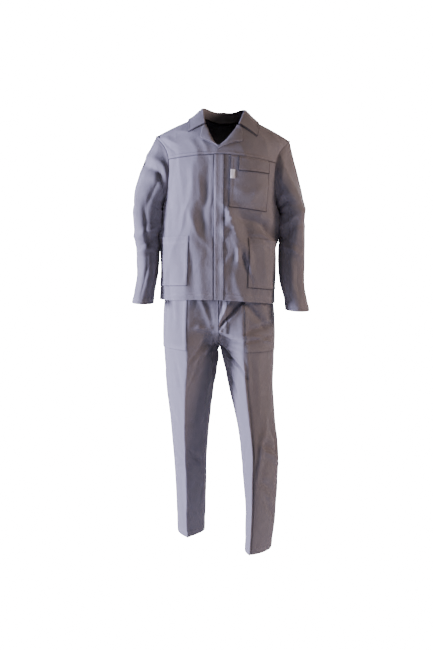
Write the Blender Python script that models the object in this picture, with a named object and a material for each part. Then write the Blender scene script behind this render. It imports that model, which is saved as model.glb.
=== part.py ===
"""A two-piece work suit, jacket and trousers, in the hollow form that it has when worn.

Units are metres. The wearer faces -Y, +X is the wearer's left and +Z is up. The origin lies at the
base of the wearer's neck, which holds the jacket up. Every cloth piece is a closed wall: a grid of
outer points on a surface worked out from the garment's sizes, and the same points moved in by the
cloth's thickness.
"""

import math
from collections import namedtuple

import bmesh
import bpy
import numpy as np

# ---------------------------------------------------------------- cloth and seams

CLOTH = 0.0015
SEAM_GAP = 0.0003
PATCH_CLOTH = 0.0011
MOST_MITRE = 1.2
STEP = 1e-4
SHARP_ANGLE = math.radians(50)
SIDES = ("right", "left")
SUIT_NAME = "work_suit"

# ---------------------------------------------------------------- jacket sizes

HEM_Z = -0.507
HEM_SIDE_DROP = 0.012
UNDERARM_Z = -0.200
UNDERARM_SIDE_DROP = 0.018
BODY_POWER = 2.45
ROLL_POWER = 2.4
SHOULDER_HALF = 0.207
SHOULDER_Y = 0.004
SHOULDER_TOP_Z = 0.066
SHOULDER_FALL = 0.082
SHOULDER_FALL_POWER = 1.5
YOKE_RISE = 1.292
V_RISE = 1.377
NECK_HALF = 0.078
BACK_NECK_RISE = 1.65
BACK_NECK_POWER = 2.5
EDGE_HEM_X = 0.010
EDGE_YOKE_X = 0.024
EDGE_V_X = 0.014
PLACKET_WIDTH = 0.030
CHEST_POCKET_INNER_X = 0.023
LOWER_POCKET_X = 0.090
CHEST_POCKET_OUTER_X = 0.142
FRONT_ARMHOLE_CUT = math.radians(24)
BACK_ARMHOLE_CUT = math.radians(20)
ARMHOLE_LOW_SHARE = 0.25
SIDE_LIFT = 0.74
CORNER_GAP = 0.0005

JacketRing = namedtuple("JacketRing", "z half_width front_depth back_depth")
JACKET_RINGS = (
    JacketRing(z=-0.520, half_width=0.181, front_depth=0.134, back_depth=0.128),
    JacketRing(z=-0.440, half_width=0.180, front_depth=0.134, back_depth=0.122),
    JacketRing(z=-0.360, half_width=0.178, front_depth=0.130, back_depth=0.112),
    JacketRing(z=-0.280, half_width=0.174, front_depth=0.126, back_depth=0.112),
    JacketRing(z=-0.200, half_width=0.171, front_depth=0.123, back_depth=0.119),
)

# Rows are heights up the jacket: 0 at the hem, 1 at the underarm and 2 on the shoulder line.
FRONT_ROWS = (0.0, 0.07, 0.14, 0.24, 0.34, 0.44, 0.54, 0.64, 0.74, 0.83, 0.92, 1.0)
ARMHOLE_ROWS = (1.0, 1.03, 1.09, 1.17, 1.24, YOKE_RISE, V_RISE, 1.46, 1.55, 1.65, 1.76, 1.88, 2.0)
LOWER_POCKET_ROWS = (0.14, 0.64)
CHEST_POCKET_ROWS = (0.92, YOKE_RISE)
FLAP_ROWS = (1.17, YOKE_RISE)
NECK_CELLS = 4

# Cells between a front's lines: front edge, placket edge, chest pocket, lower pocket, outer edge of
# the chest pocket, side. The left front, which laps over the right, has the chest pocket's line.
PLACKET_CELLS = {"left": 1, "right": 2}
PLACKET_NEXT_CELLS = {"left": 1, "right": 3}
CHEST_CELLS = 3
OUTER_CHEST_CELLS = 2
SIDE_CELLS = 4
FRONT_COLUMNS = 12
PLACKET_COLUMN = 1
CHEST_POCKET_COLUMN = 2
FLAP_COLUMN = 3
LOWER_POCKET_COLUMN = 5
OUTER_CHEST_COLUMN = 7

POCKET_MARGIN = 0.001
FLAP_LIFT = 0.0006
TAB_WIDTH = 0.014
TAB_HEIGHT = 0.028
TAB_MARGIN = 0.003
TAB_LIFT = 0.0006
TAB_CLOTH = 0.0010

# ---------------------------------------------------------------- folds

# A fold is a soft ridge, or a trough where its height is negative, along a line on a surface.
# around is the distance round the surface from its front line, and z is the height.
Fold = namedtuple("Fold", "around_a z_a around_b z_b width height")

JACKET_AROUND = 0.15
JACKET_FOLDS = (
    Fold(around_a=0.030, z_a=-0.20, around_b=0.045, z_b=-0.46, width=0.016, height=0.005),
    Fold(around_a=-0.030, z_a=-0.18, around_b=-0.040, z_b=-0.33, width=0.016, height=-0.005),
    Fold(around_a=0.080, z_a=-0.20, around_b=0.150, z_b=-0.32, width=0.022, height=-0.006),
    Fold(around_a=-0.160, z_a=-0.24, around_b=-0.130, z_b=-0.52, width=0.020, height=0.003),
    Fold(around_a=0.330, z_a=-0.16, around_b=0.390, z_b=-0.50, width=0.028, height=0.007),
    Fold(around_a=-0.330, z_a=-0.18, around_b=-0.400, z_b=-0.50, width=0.028, height=0.006),
    Fold(around_a=0.300, z_a=-0.12, around_b=0.260, z_b=-0.40, width=0.024, height=-0.005),
    Fold(around_a=-0.290, z_a=-0.10, around_b=-0.270, z_b=-0.38, width=0.024, height=-0.005),
)

SLEEVE_AROUND = 0.065
SLEEVE_MOST_PUSH = 0.006
SLEEVE_RIGHT_FOLDS = (
    Fold(around_a=-0.14, z_a=-0.19, around_b=0.13, z_b=-0.27, width=0.014, height=-0.006),
    Fold(around_a=-0.10, z_a=-0.27, around_b=0.16, z_b=-0.33, width=0.014, height=0.005),
    Fold(around_a=-0.12, z_a=-0.36, around_b=0.12, z_b=-0.33, width=0.015, height=-0.005),
    Fold(around_a=-0.08, z_a=-0.46, around_b=0.14, z_b=-0.42, width=0.014, height=0.003),
)
SLEEVE_LEFT_FOLDS = (
    Fold(around_a=-0.13, z_a=-0.22, around_b=0.12, z_b=-0.29, width=0.014, height=-0.006),
    Fold(around_a=-0.10, z_a=-0.30, around_b=0.15, z_b=-0.35, width=0.014, height=0.004),
    Fold(around_a=-0.14, z_a=-0.39, around_b=0.10, z_b=-0.36, width=0.014, height=-0.004),
    Fold(around_a=-0.10, z_a=-0.45, around_b=0.12, z_b=-0.48, width=0.014, height=0.003),
)

LEG_AROUND = 0.10
LEG_RIGHT_FOLDS = (
    Fold(around_a=0.24, z_a=-0.60, around_b=0.12, z_b=-0.66, width=0.018, height=0.005),
    Fold(around_a=0.24, z_a=-0.70, around_b=0.14, z_b=-0.80, width=0.020, height=-0.004),
    Fold(around_a=0.02, z_a=-0.90, around_b=0.14, z_b=-0.96, width=0.020, height=-0.004),
)
LEG_LEFT_FOLDS = (
    Fold(around_a=0.24, z_a=-0.61, around_b=0.13, z_b=-0.56, width=0.016, height=0.006),
    Fold(around_a=0.25, z_a=-0.66, around_b=0.17, z_b=-0.76, width=0.018, height=-0.005),
    Fold(around_a=0.05, z_a=-0.90, around_b=0.17, z_b=-0.97, width=0.022, height=-0.005),
)

# ---------------------------------------------------------------- sleeve sizes

# outer and inner are the sleeve's edges seen from the front, as distances from the centre plane.
SleeveRing = namedtuple("SleeveRing", "z outer inner y half_depth")
SLEEVE_RIGHT_RINGS = (
    SleeveRing(z=-0.532, outer=0.267, inner=0.200, y=-0.035, half_depth=0.058),
    SleeveRing(z=-0.500, outer=0.262, inner=0.196, y=-0.028, half_depth=0.060),
    SleeveRing(z=-0.450, outer=0.255, inner=0.188, y=-0.018, half_depth=0.063),
    SleeveRing(z=-0.390, outer=0.259, inner=0.185, y=-0.006, half_depth=0.066),
    SleeveRing(z=-0.320, outer=0.269, inner=0.184, y=0.004, half_depth=0.070),
    SleeveRing(z=-0.250, outer=0.276, inner=0.179, y=0.006, half_depth=0.075),
)
SLEEVE_LEFT_RINGS = (
    SleeveRing(z=-0.538, outer=0.287, inner=0.213, y=-0.035, half_depth=0.058),
    SleeveRing(z=-0.510, outer=0.282, inner=0.209, y=-0.030, half_depth=0.060),
    SleeveRing(z=-0.450, outer=0.271, inner=0.193, y=-0.018, half_depth=0.063),
    SleeveRing(z=-0.390, outer=0.269, inner=0.186, y=-0.006, half_depth=0.066),
    SleeveRing(z=-0.320, outer=0.268, inner=0.184, y=0.004, half_depth=0.070),
    SleeveRing(z=-0.250, outer=0.265, inner=0.179, y=0.006, half_depth=0.075),
)
SLEEVE_CAP_CELLS = 6
SLEEVE_TUBE_CELLS = 14
CAP_TOP_SLOPE = {"right": (0.44, -0.90), "left": (0.24, -0.97)}
CAP_LOW_SLOPE = (0.60, -0.80)
CAP_SIDE_SPREAD = 0.45
CAP_PULL = 0.95
SLEEVE_LOOK_DOWN = 0.01

# ---------------------------------------------------------------- collar and lapel sizes

# x and rise say where the collar's free edge lies over the yoke or the back.
CollarStation = namedtuple("CollarStation", "edge_x edge_rise stand lean")
COLLAR_FRONT = {
    "right": (
        CollarStation(edge_x=0.106, edge_rise=1.590, stand=0.006, lean=0.000),
        CollarStation(edge_x=0.109, edge_rise=1.700, stand=0.016, lean=0.004),
        CollarStation(edge_x=0.109, edge_rise=1.845, stand=0.024, lean=0.008),
        CollarStation(edge_x=0.106, edge_rise=2.000, stand=0.029, lean=0.010),
    ),
    "left": (
        CollarStation(edge_x=0.104, edge_rise=1.560, stand=0.006, lean=0.000),
        CollarStation(edge_x=0.108, edge_rise=1.690, stand=0.015, lean=0.004),
        CollarStation(edge_x=0.108, edge_rise=1.845, stand=0.023, lean=0.008),
        CollarStation(edge_x=0.105, edge_rise=2.000, stand=0.028, lean=0.010),
    ),
}
COLLAR_BACK = (
    CollarStation(edge_x=0.102, edge_rise=1.800, stand=0.032, lean=0.008),
    CollarStation(edge_x=0.082, edge_rise=1.640, stand=0.035, lean=0.006),
    CollarStation(edge_x=0.044, edge_rise=1.540, stand=0.037, lean=0.004),
    CollarStation(edge_x=0.000, edge_rise=1.510, stand=0.038, lean=0.004),
)
COLLAR_START_RISE = 1.64
COLLAR_FOLD_RADIUS = 0.003
COLLAR_FOLD_TURNS = (0, 60, 120, 180)
COLLAR_FALL_CELLS = 3
COLLAR_LIFT = 0.0012
COLLAR_SETTLE_POWER = 1.9

# A lapel row runs from the roll line at roll_rise out to its free edge at edge_x and edge_rise.
LapelRow = namedtuple("LapelRow", "roll_rise edge_x edge_rise")
LAPEL_ROWS = {
    "right": (
        LapelRow(roll_rise=1.385, edge_x=0.012, edge_rise=1.352),
        LapelRow(roll_rise=1.430, edge_x=0.034, edge_rise=1.392),
        LapelRow(roll_rise=1.490, edge_x=0.053, edge_rise=1.430),
        LapelRow(roll_rise=1.560, edge_x=0.069, edge_rise=1.470),
        LapelRow(roll_rise=1.635, edge_x=0.064, edge_rise=1.620),
    ),
    "left": (
        LapelRow(roll_rise=1.385, edge_x=-0.014, edge_rise=1.327),
        LapelRow(roll_rise=1.430, edge_x=0.011, edge_rise=1.366),
        LapelRow(roll_rise=1.490, edge_x=0.036, edge_rise=1.406),
        LapelRow(roll_rise=1.560, edge_x=0.061, edge_rise=1.446),
        LapelRow(roll_rise=1.635, edge_x=0.057, edge_rise=1.605),
    ),
}
LAPEL_CELLS = 4
LAPEL_LIFT = {"right": 0.0012, "left": 0.0014}
LAPEL_PUFF = 0.0010
LAPEL_OVERHANG = 0.0012

# ---------------------------------------------------------------- trouser sizes

WAIST_Z = -0.395
WAISTBAND_TOP_Z = -0.358
WAISTBAND_STAND = 0.0004
CROTCH_Z = -0.652
RISE_HEIGHT = 0.085
CENTRE_EASE = 2
CENTRE_FLATTEN = 5
HIP_POWER = 2.4
HIP_TURN_POWER = {"right": 1.55, "left": 2.0}
LEG_HEM_Z = -1.268

HipRing = namedtuple("HipRing", "z half_width front_depth back_depth centre_x")
HIP_RINGS = (
    HipRing(z=-0.660, half_width=0.177, front_depth=0.112, back_depth=0.125, centre_x=0.010),
    HipRing(z=-0.600, half_width=0.174, front_depth=0.112, back_depth=0.124, centre_x=0.008),
    HipRing(z=-0.540, half_width=0.170, front_depth=0.112, back_depth=0.115, centre_x=0.006),
    HipRing(z=-0.480, half_width=0.163, front_depth=0.108, back_depth=0.104, centre_x=0.003),
    HipRing(z=-0.395, half_width=0.152, front_depth=0.104, back_depth=0.096, centre_x=0.000),
    HipRing(z=-0.350, half_width=0.150, front_depth=0.104, back_depth=0.096, centre_x=0.000),
)

# turn is in degrees and swings the front crease towards the wearer's right. crease is 1 for a
# round section and 2 for one with a sharp edge at the front and at the back.
Leg = namedtuple("Leg", "z centre_x centre_y half_width half_depth crease turn")
LEG_RIGHT_RINGS = (
    Leg(z=-1.268, centre_x=-0.059, centre_y=0.020, half_width=0.042, half_depth=0.088, crease=1.55, turn=6),
    Leg(z=-1.150, centre_x=-0.063, centre_y=0.018, half_width=0.047, half_depth=0.092, crease=1.55, turn=7),
    Leg(z=-1.010, centre_x=-0.070, centre_y=0.010, half_width=0.053, half_depth=0.096, crease=1.50, turn=7),
    Leg(z=-0.900, centre_x=-0.074, centre_y=0.005, half_width=0.062, half_depth=0.100, crease=1.45, turn=8),
    Leg(z=-0.800, centre_x=-0.077, centre_y=0.002, half_width=0.073, half_depth=0.108, crease=1.35, turn=7),
    Leg(z=-0.710, centre_x=-0.075, centre_y=0.002, half_width=0.083, half_depth=0.114, crease=1.25, turn=6),
    Leg(z=-0.652, centre_x=-0.078, centre_y=0.002, half_width=0.086, half_depth=0.116, crease=1.10, turn=5),
)
LEG_LEFT_RINGS = (
    Leg(z=-1.268, centre_x=0.153, centre_y=-0.150, half_width=0.036, half_depth=0.086, crease=1.50, turn=18),
    Leg(z=-1.150, centre_x=0.157, centre_y=-0.135, half_width=0.043, half_depth=0.090, crease=1.50, turn=18),
    Leg(z=-1.050, centre_x=0.153, centre_y=-0.115, half_width=0.052, half_depth=0.094, crease=1.50, turn=16),
    Leg(z=-0.970, centre_x=0.148, centre_y=-0.090, half_width=0.057, half_depth=0.098, crease=1.50, turn=13),
    Leg(z=-0.900, centre_x=0.135, centre_y=-0.062, half_width=0.059, half_depth=0.100, crease=1.45, turn=10),
    Leg(z=-0.800, centre_x=0.118, centre_y=-0.028, half_width=0.068, half_depth=0.108, crease=1.35, turn=8),
    Leg(z=-0.710, centre_x=0.106, centre_y=-0.006, half_width=0.079, half_depth=0.114, crease=1.25, turn=6),
    Leg(z=-0.652, centre_x=0.098, centre_y=0.002, half_width=0.087, half_depth=0.116, crease=1.10, turn=4),
)
LEG_CELLS = 15
FRONT_POCKET_BOTTOM_Z = -0.668
RISE_ROWS = (0.09, 0.20, 0.34, 0.50, 0.72, 1.0)
HIP_CELLS = 4
LEG_COLUMNS = 8
FLY_BOTTOM_Z = -0.610
FLY_COLUMNS = 2
FLY_LIFT_LOW = 0.0014
FLY_LIFT_HIGH = 0.0005
FLY_MARGIN = 0.002
BUTTON_RADIUS = 0.0085
BUTTON_THICKNESS = 0.003
BUTTON_SIDES = 20

# ---------------------------------------------------------------- colours

CLOTH_COLOUR = (0.155, 0.140, 0.158)
TAB_COLOUR = (0.72, 0.71, 0.69)
BUTTON_COLOUR = (0.10, 0.095, 0.105)
CLOTH_ROUGHNESS = 0.85
BUTTON_ROUGHNESS = 0.4


# ================================================================ working out surfaces


def side_sign(side):
    """+1 for the wearer's left and -1 for the wearer's right."""
    return 1.0 if side == "left" else -1.0


def signed_power(base, exponent):
    """Raises a number to a power and keeps its sign."""
    return np.sign(base) * np.abs(base) ** exponent


def unit(vectors):
    """Vectors made one long."""
    return vectors / np.maximum(np.linalg.norm(vectors, axis=-1, keepdims=True), 1e-12)


def read_table(rows, column, z):
    """A smooth value of one column of a table of rings, read at any height."""
    keys = np.array([row.z for row in rows])
    values = np.array([getattr(row, column) for row in rows])
    slopes = np.gradient(values, keys)
    at = np.clip(z, keys[0], keys[-1])
    low = np.clip(np.searchsorted(keys, at) - 1, 0, len(keys) - 2)
    span = keys[low + 1] - keys[low]
    t = (at - keys[low]) / span
    start = (1 + 2 * t) * (1 - t) ** 2 * values[low] + t * (1 - t) ** 2 * span * slopes[low]
    end = t**2 * (3 - 2 * t) * values[low + 1] + t**2 * (t - 1) * span * slopes[low + 1]
    return start + end


def fold_height(folds, around, z):
    """How far the folds push a surface out at a place on it."""
    total = np.zeros(np.broadcast(around, z).shape)
    for fold in folds:
        run = np.array([fold.around_b - fold.around_a, fold.z_b - fold.z_a])
        length = np.linalg.norm(run)
        run = run / length
        along = (around - fold.around_a) * run[0] + (z - fold.z_a) * run[1]
        across = (around - fold.around_a) * run[1] - (z - fold.z_a) * run[0]
        past_end = np.maximum(0, np.abs(along - length / 2) - length / 4)
        total = total + fold.height * np.exp(-((across / fold.width) ** 2) - (past_end / (length / 4)) ** 2)
    return total


def surface_normals(surface, first, second):
    """Outward normals of a surface of two numbers, from its slopes."""
    along_first = surface(first + STEP, second) - surface(first - STEP, second)
    along_second = surface(first, second + STEP) - surface(first, second - STEP)
    return unit(np.cross(along_first, along_second))


def grid_normals(points):
    """Normals of a grid of points whose columns close into a ring."""
    along = np.gradient(points, axis=0)
    wrapped = np.concatenate([points[:, -1:], points, points[:, :1]], axis=1)
    around = wrapped[:, 2:] - wrapped[:, :-2]
    return unit(np.cross(around, along))


def jacket_half_width(rise):
    """Half the jacket's width at a height, before its folds."""
    low = np.minimum(rise, 1)
    roll = np.cos(np.clip(rise - 1, 0, 1) * math.pi / 2) ** (4 / ROLL_POWER)
    body = read_table(JACKET_RINGS, "half_width", HEM_Z + (UNDERARM_Z - HEM_Z) * low)
    return SHOULDER_HALF + (body - SHOULDER_HALF) * roll


def jacket_point(angle, rise):
    """A point of the jacket's body. angle is 0 at the front, a quarter turn at the wearer's left."""
    low = np.minimum(rise, 1)
    share = signed_power(np.sin(angle), 2 / BODY_POWER)
    up = np.clip(rise - 1, 0, 1)
    side_lift = SIDE_LIFT * share**2 * up * (1 - up) ** 2
    over = (up + side_lift) * math.pi / 2
    roll_in = np.abs(np.cos(over)) ** (2 / ROLL_POWER)
    roll_up = np.sin(over) ** (2 / ROLL_POWER)
    reach = signed_power(np.cos(angle), 2 / BODY_POWER)
    ring_z = HEM_Z + (UNDERARM_Z - HEM_Z) * low
    front = read_table(JACKET_RINGS, "front_depth", ring_z)
    back = read_table(JACKET_RINGS, "back_depth", ring_z)
    depth = np.where(reach > 0, front, back)
    half_width = jacket_half_width(rise)
    x = share * half_width
    y = SHOULDER_Y + (-depth * reach - SHOULDER_Y) * roll_in
    drop = (HEM_SIDE_DROP + (UNDERARM_SIDE_DROP - HEM_SIDE_DROP) * low) * share**2
    low_z = ring_z - drop
    top_z = SHOULDER_TOP_Z - SHOULDER_FALL * np.abs(share) ** SHOULDER_FALL_POWER
    z = low_z + (top_z - low_z) * roll_up
    outward = unit(
        np.stack(
            [
                signed_power(share, BODY_POWER - 1) / half_width,
                -signed_power(reach, BODY_POWER - 1) / depth,
                np.zeros(np.broadcast(angle, rise).shape),
            ],
            axis=-1,
        )
    )
    push = fold_height(JACKET_FOLDS, angle * JACKET_AROUND, z) * roll_in
    return np.stack([x, y, z], axis=-1) + outward * push[..., None]


def angle_at_x(x, rise):
    """The angle of the place on the jacket's front that lies at x."""
    return np.arcsin(signed_power(np.clip(x / jacket_half_width(rise), -1, 1), BODY_POWER / 2))


def armhole_share(rise):
    """How deep the armhole cuts in at a height: 0 at both its ends, 1 where it is deepest."""
    up = np.clip(rise - 1, 0, 1)
    low = np.sqrt(np.clip(1 - (1 - np.minimum(up / ARMHOLE_LOW_SHARE, 1)) ** 2, 0, 1))
    high = 0.5 * (1 + np.cos(math.pi * (up - ARMHOLE_LOW_SHARE) / (1 - ARMHOLE_LOW_SHARE)))
    return np.where(up < ARMHOLE_LOW_SHARE, low, high)


def front_side_angle(rise):
    """The front's outer edge: the side seam, then the armhole."""
    return math.pi / 2 - FRONT_ARMHOLE_CUT * armhole_share(rise)


def back_side_angle(rise):
    """The back's outer edge: the side seam, then the armhole."""
    return math.pi / 2 + BACK_ARMHOLE_CUT * armhole_share(rise)


def front_edge_x(side, rise):
    """The front's inner edge: up to the V a little past the middle, then along the roll line."""
    past_middle = np.interp(rise, (0, YOKE_RISE, V_RISE), (EDGE_HEM_X, EDGE_YOKE_X, EDGE_V_X))
    meeting = -side_sign(side) * past_middle
    up = np.clip((rise - V_RISE) / (2 - V_RISE), 0, 1)
    return meeting + (NECK_HALF - meeting) * up**0.5


# ================================================================ solids from grids


def wall_faces(rows, columns, ring):
    """Triangles of a closed wall whose outer and inner points are grids of the same size.

    Every cell is cut along the same diagonal, so that what lies on a panel keeps its even gap.
    """
    layer = rows * columns
    spans = columns if ring else columns - 1
    cells = []
    for i in range(rows - 1):
        for j in range(spans):
            k = (j + 1) % columns
            a, b = i * columns + j, i * columns + k
            c, d = (i + 1) * columns + k, (i + 1) * columns + j
            cells.append((a, b, c, d))
            cells.append((layer + a, layer + d, layer + c, layer + b))
    for j in range(spans):
        k = (j + 1) % columns
        top = (rows - 1) * columns
        cells.append((j, layer + j, layer + k, k))
        cells.append((top + k, layer + top + k, layer + top + j, top + j))
    if not ring:
        for i in range(rows - 1):
            a, b = i * columns, (i + 1) * columns
            c, d = a + columns - 1, b + columns - 1
            cells.append((b, layer + b, layer + a, a))
            cells.append((c, layer + c, layer + d, d))
    return [triangle for a, b, c, d in cells for triangle in ((a, b, c), (a, c, d))]


def add_solid(name, outer, inner, material, ring=False):
    """Makes one closed wall from its outer and inner grids and puts it in the suit's collection."""
    rows, columns = outer.shape[:2]
    points = np.concatenate([outer.reshape(-1, 3), inner.reshape(-1, 3)])
    mesh = bpy.data.meshes.new(name)
    mesh.from_pydata([tuple(map(float, p)) for p in points], [], wall_faces(rows, columns, ring))
    shell = bmesh.new()
    shell.from_mesh(mesh)
    if shell.calc_volume(signed=True) < 0:
        bmesh.ops.reverse_faces(shell, faces=shell.faces)
    shell.to_mesh(mesh)
    shell.free()
    mesh.shade_smooth()
    mesh.set_sharp_from_angle(angle=SHARP_ANGLE)
    mesh.materials.append(material)
    made = bpy.data.objects.new(name, mesh)
    bpy.data.collections[SUIT_NAME].objects.link(made)
    return made


def inset(points, gap, edges):
    """Pulls the named edges of a grid in along the surface by a gap."""
    moved = points.copy()
    if "low" in edges:
        moved[0] = points[0] + unit(points[1] - points[0]) * gap
    if "high" in edges:
        moved[-1] = points[-1] + unit(points[-2] - points[-1]) * gap
    base = moved.copy()
    if "first" in edges:
        moved[:, 0] = base[:, 0] + unit(base[:, 1] - base[:, 0]) * gap
    if "last" in edges:
        moved[:, -1] = base[:, -1] + unit(base[:, -2] - base[:, -1]) * gap
    return moved


ALL_EDGES = ("low", "high", "first", "last")


def add_panel(name, points, normals, material, stretch=None):
    """A cut panel: a wall inward from its points, half a seam gap in from each edge."""
    outer = inset(points, SEAM_GAP / 2, ALL_EDGES)
    depth = CLOTH if stretch is None else CLOTH * stretch[..., None]
    add_solid(name, outer, outer - normals * depth, material)


def add_patch(name, points, normals, material, margin, lift=0.0):
    """A piece that lies on a panel: the panel's own points, moved out."""
    base = inset(points, margin, ALL_EDGES)
    inner = base + normals * (SEAM_GAP + lift)
    add_solid(name, inner + normals * PATCH_CLOTH, inner, material)


def mitre(own, other):
    """The shared normal of two pieces at a seam, and how much longer a wall is along it."""
    together = unit(own + other)
    cosine = np.sum(together * own, axis=-1)
    outward_bend = np.sum(own * other, axis=-1) > 0
    normal = np.where(outward_bend[..., None], together, own)
    stretch = np.where(outward_bend, np.minimum(1 / np.maximum(cosine, 0.5), MOST_MITRE), 1.0)
    return normal, stretch


# ================================================================ jacket


def front_stations(side, rise):
    """Angles of the front's columns at each row, from the front edge to the side."""
    edge_x = front_edge_x(side, rise)
    placket = (angle_at_x(edge_x + PLACKET_WIDTH, rise), PLACKET_NEXT_CELLS[side])
    chest = (angle_at_x(CHEST_POCKET_INNER_X, rise), CHEST_CELLS)
    lines = [
        (angle_at_x(edge_x, rise), PLACKET_CELLS[side]),
        *((placket, chest) if side == "left" else (placket,)),
        (angle_at_x(LOWER_POCKET_X, rise), OUTER_CHEST_CELLS),
        (angle_at_x(CHEST_POCKET_OUTER_X, rise), SIDE_CELLS),
        (front_side_angle(rise), 0),
    ]
    columns = []
    for (start, cells), (end, _) in zip(lines, lines[1:]):
        columns += [start + (end - start) * k / cells for k in range(cells)]
    columns.append(lines[-1][0])
    return np.stack(columns, axis=-1)


def yoke_angles(side, rises):
    """Angles of the yoke's columns: the front's at the seam, evenly spaced at the shoulder."""
    seam = front_stations(side, np.array([YOKE_RISE]))[0]
    seam_share = (seam - seam[0]) / (seam[-1] - seam[0])
    even = np.linspace(0, 1, FRONT_COLUMNS)
    rows = []
    for rise in rises:
        blend = (rise - YOKE_RISE) / (2 - YOKE_RISE)
        share = seam_share + (even - seam_share) * blend
        start = angle_at_x(front_edge_x(side, rise), rise)
        rows.append(start + (front_side_angle(rise) - start) * share)
    return np.array(rows)


def side_grid(side, angles, rises):
    """Points and normals of the jacket's surface on one side, columns running away from the middle."""
    sign = side_sign(side)
    rises = np.broadcast_to(np.asarray(rises)[..., None] if np.ndim(rises) == 1 else rises, angles.shape)
    points = jacket_point(sign * angles, rises)
    normals = surface_normals(jacket_point, sign * angles, np.minimum(rises, 2 - STEP))
    return points, normals


def armhole_half(side, back):
    """Armhole points and body normals from the underarm up to the shoulder point."""
    rises = np.array(ARMHOLE_ROWS)
    edge = back_side_angle(rises) if back else front_side_angle(rises)
    points, normals = side_grid(side, edge[:, None], rises)
    return points[:, 0], normals[:, 0]


def sleeve_rings(side):
    """The sleeve's ring table for a side."""
    return SLEEVE_LEFT_RINGS if side == "left" else SLEEVE_RIGHT_RINGS


def sleeve_ring_points(side, turns, z):
    """A sleeve section at a height. turns are 0 outside, a quarter turn at the front."""
    rings = sleeve_rings(side)
    outer = read_table(rings, "outer", z)
    inner = read_table(rings, "inner", z)
    centre_y = read_table(rings, "y", z)
    half_depth = read_table(rings, "half_depth", z)
    folds = SLEEVE_LEFT_FOLDS if side == "left" else SLEEVE_RIGHT_FOLDS
    turned = np.where(turns > math.pi, turns - 2 * math.pi, turns)
    push = np.minimum(fold_height(folds, turned * SLEEVE_AROUND, z), SLEEVE_MOST_PUSH)
    push = push * (1 + np.cos(turns)) / 2
    x = (outer + inner) / 2 + ((outer - inner) / 2 + push) * np.cos(turns)
    y = centre_y - (half_depth + push) * np.sin(turns)
    return np.stack([side_sign(side) * x, y, np.full(x.shape, z)], axis=-1)


def sleeve_grid(side):
    """Outer points of a sleeve, rings from the armhole to the cuff, and the body's normals there."""
    front, front_normals = armhole_half(side, back=False)
    back, back_normals = armhole_half(side, back=True)
    loop = np.concatenate([front[::-1], back[1:-1]])
    loop_normals = np.concatenate([front_normals[::-1], back_normals[1:-1]])
    front_run = np.concatenate([[0], np.cumsum(np.linalg.norm(np.diff(front[::-1], axis=0), axis=1))])
    back_run = np.concatenate([[0], np.cumsum(np.linalg.norm(np.diff(back, axis=0), axis=1))])
    front_turns = math.pi * front_run / front_run[-1]
    back_turns = math.pi + math.pi * back_run[1:-1] / back_run[-1]
    turns = np.concatenate([front_turns, back_turns])
    rings = sleeve_rings(side)
    top_z, cuff_z = rings[-1].z, rings[0].z
    first_ring = sleeve_ring_points(side, turns, top_z)
    next_ring = sleeve_ring_points(side, turns, top_z - SLEEVE_LOOK_DOWN)
    outside = (1 + np.cos(turns)) / 2
    top = np.array([side_sign(side) * CAP_TOP_SLOPE[side][0], 0, CAP_TOP_SLOPE[side][1]])
    low = np.array([side_sign(side) * CAP_LOW_SLOPE[0], 0, CAP_LOW_SLOPE[1]])
    leave = low + (top - low) * outside[:, None]
    leave[:, 1] -= CAP_SIDE_SPREAD * np.sin(turns)
    reach = np.linalg.norm(first_ring - loop, axis=1, keepdims=True) * CAP_PULL
    leave = unit(leave) * reach
    arrive = unit(next_ring - first_ring) * reach
    rows = []
    for k in range(SLEEVE_CAP_CELLS):
        t = k / SLEEVE_CAP_CELLS
        start = (1 + 2 * t) * (1 - t) ** 2 * loop + t * (1 - t) ** 2 * leave
        end = t**2 * (3 - 2 * t) * first_ring + t**2 * (t - 1) * arrive
        rows.append(start + end)
    for z in np.linspace(top_z, cuff_z, SLEEVE_TUBE_CELLS + 1):
        rows.append(sleeve_ring_points(side, turns, z))
    points = np.array(rows)
    return points, grid_normals(points) * side_sign(side), loop_normals


def add_sleeve(side, material):
    """A sleeve, mitred to the body round the armhole. Returns the armhole's shared normals."""
    points, normals, body_normals = sleeve_grid(side)
    sleeve_normals = normals[0].copy()
    shared, stretch = mitre(sleeve_normals, body_normals)
    normals[0] = shared
    depth = np.full(points.shape[:2], CLOTH)
    depth[0] *= stretch
    outer = inset(points, SEAM_GAP / 2, ("low",))
    add_solid(f"jacket_sleeve_{side}", outer, outer - normals * depth[..., None], material, ring=True)
    return mitre(body_normals, sleeve_normals)


def armhole_rows_of(shared, stretch, back):
    """The armhole's shared normals along one half, from the underarm up to the shoulder."""
    count = len(ARMHOLE_ROWS)
    if back:
        picked = np.concatenate([np.arange(count - 1, 2 * count - 2), [0]])
    else:
        picked = np.arange(count)[::-1]
    return shared[picked], stretch[picked]


def add_front(side, armhole, cloth):
    """A front below the yoke. Returns its points and normals for what is sewn on it."""
    upper = [rise for rise in ARMHOLE_ROWS if 1 < rise <= YOKE_RISE]
    rises = np.array(list(FRONT_ROWS) + upper)
    angles = front_stations(side, rises)
    points, normals = side_grid(side, angles, rises)
    stretch = np.ones(angles.shape)
    start = len(FRONT_ROWS) - 1
    own = armhole_rows_of(*armhole, back=False)
    normals[start:, -1] = own[0][: len(rises) - start]
    stretch[start:, -1] = own[1][: len(rises) - start]
    add_panel(f"jacket_front_{side}", points, normals, cloth, stretch)
    return points, normals, rises


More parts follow.
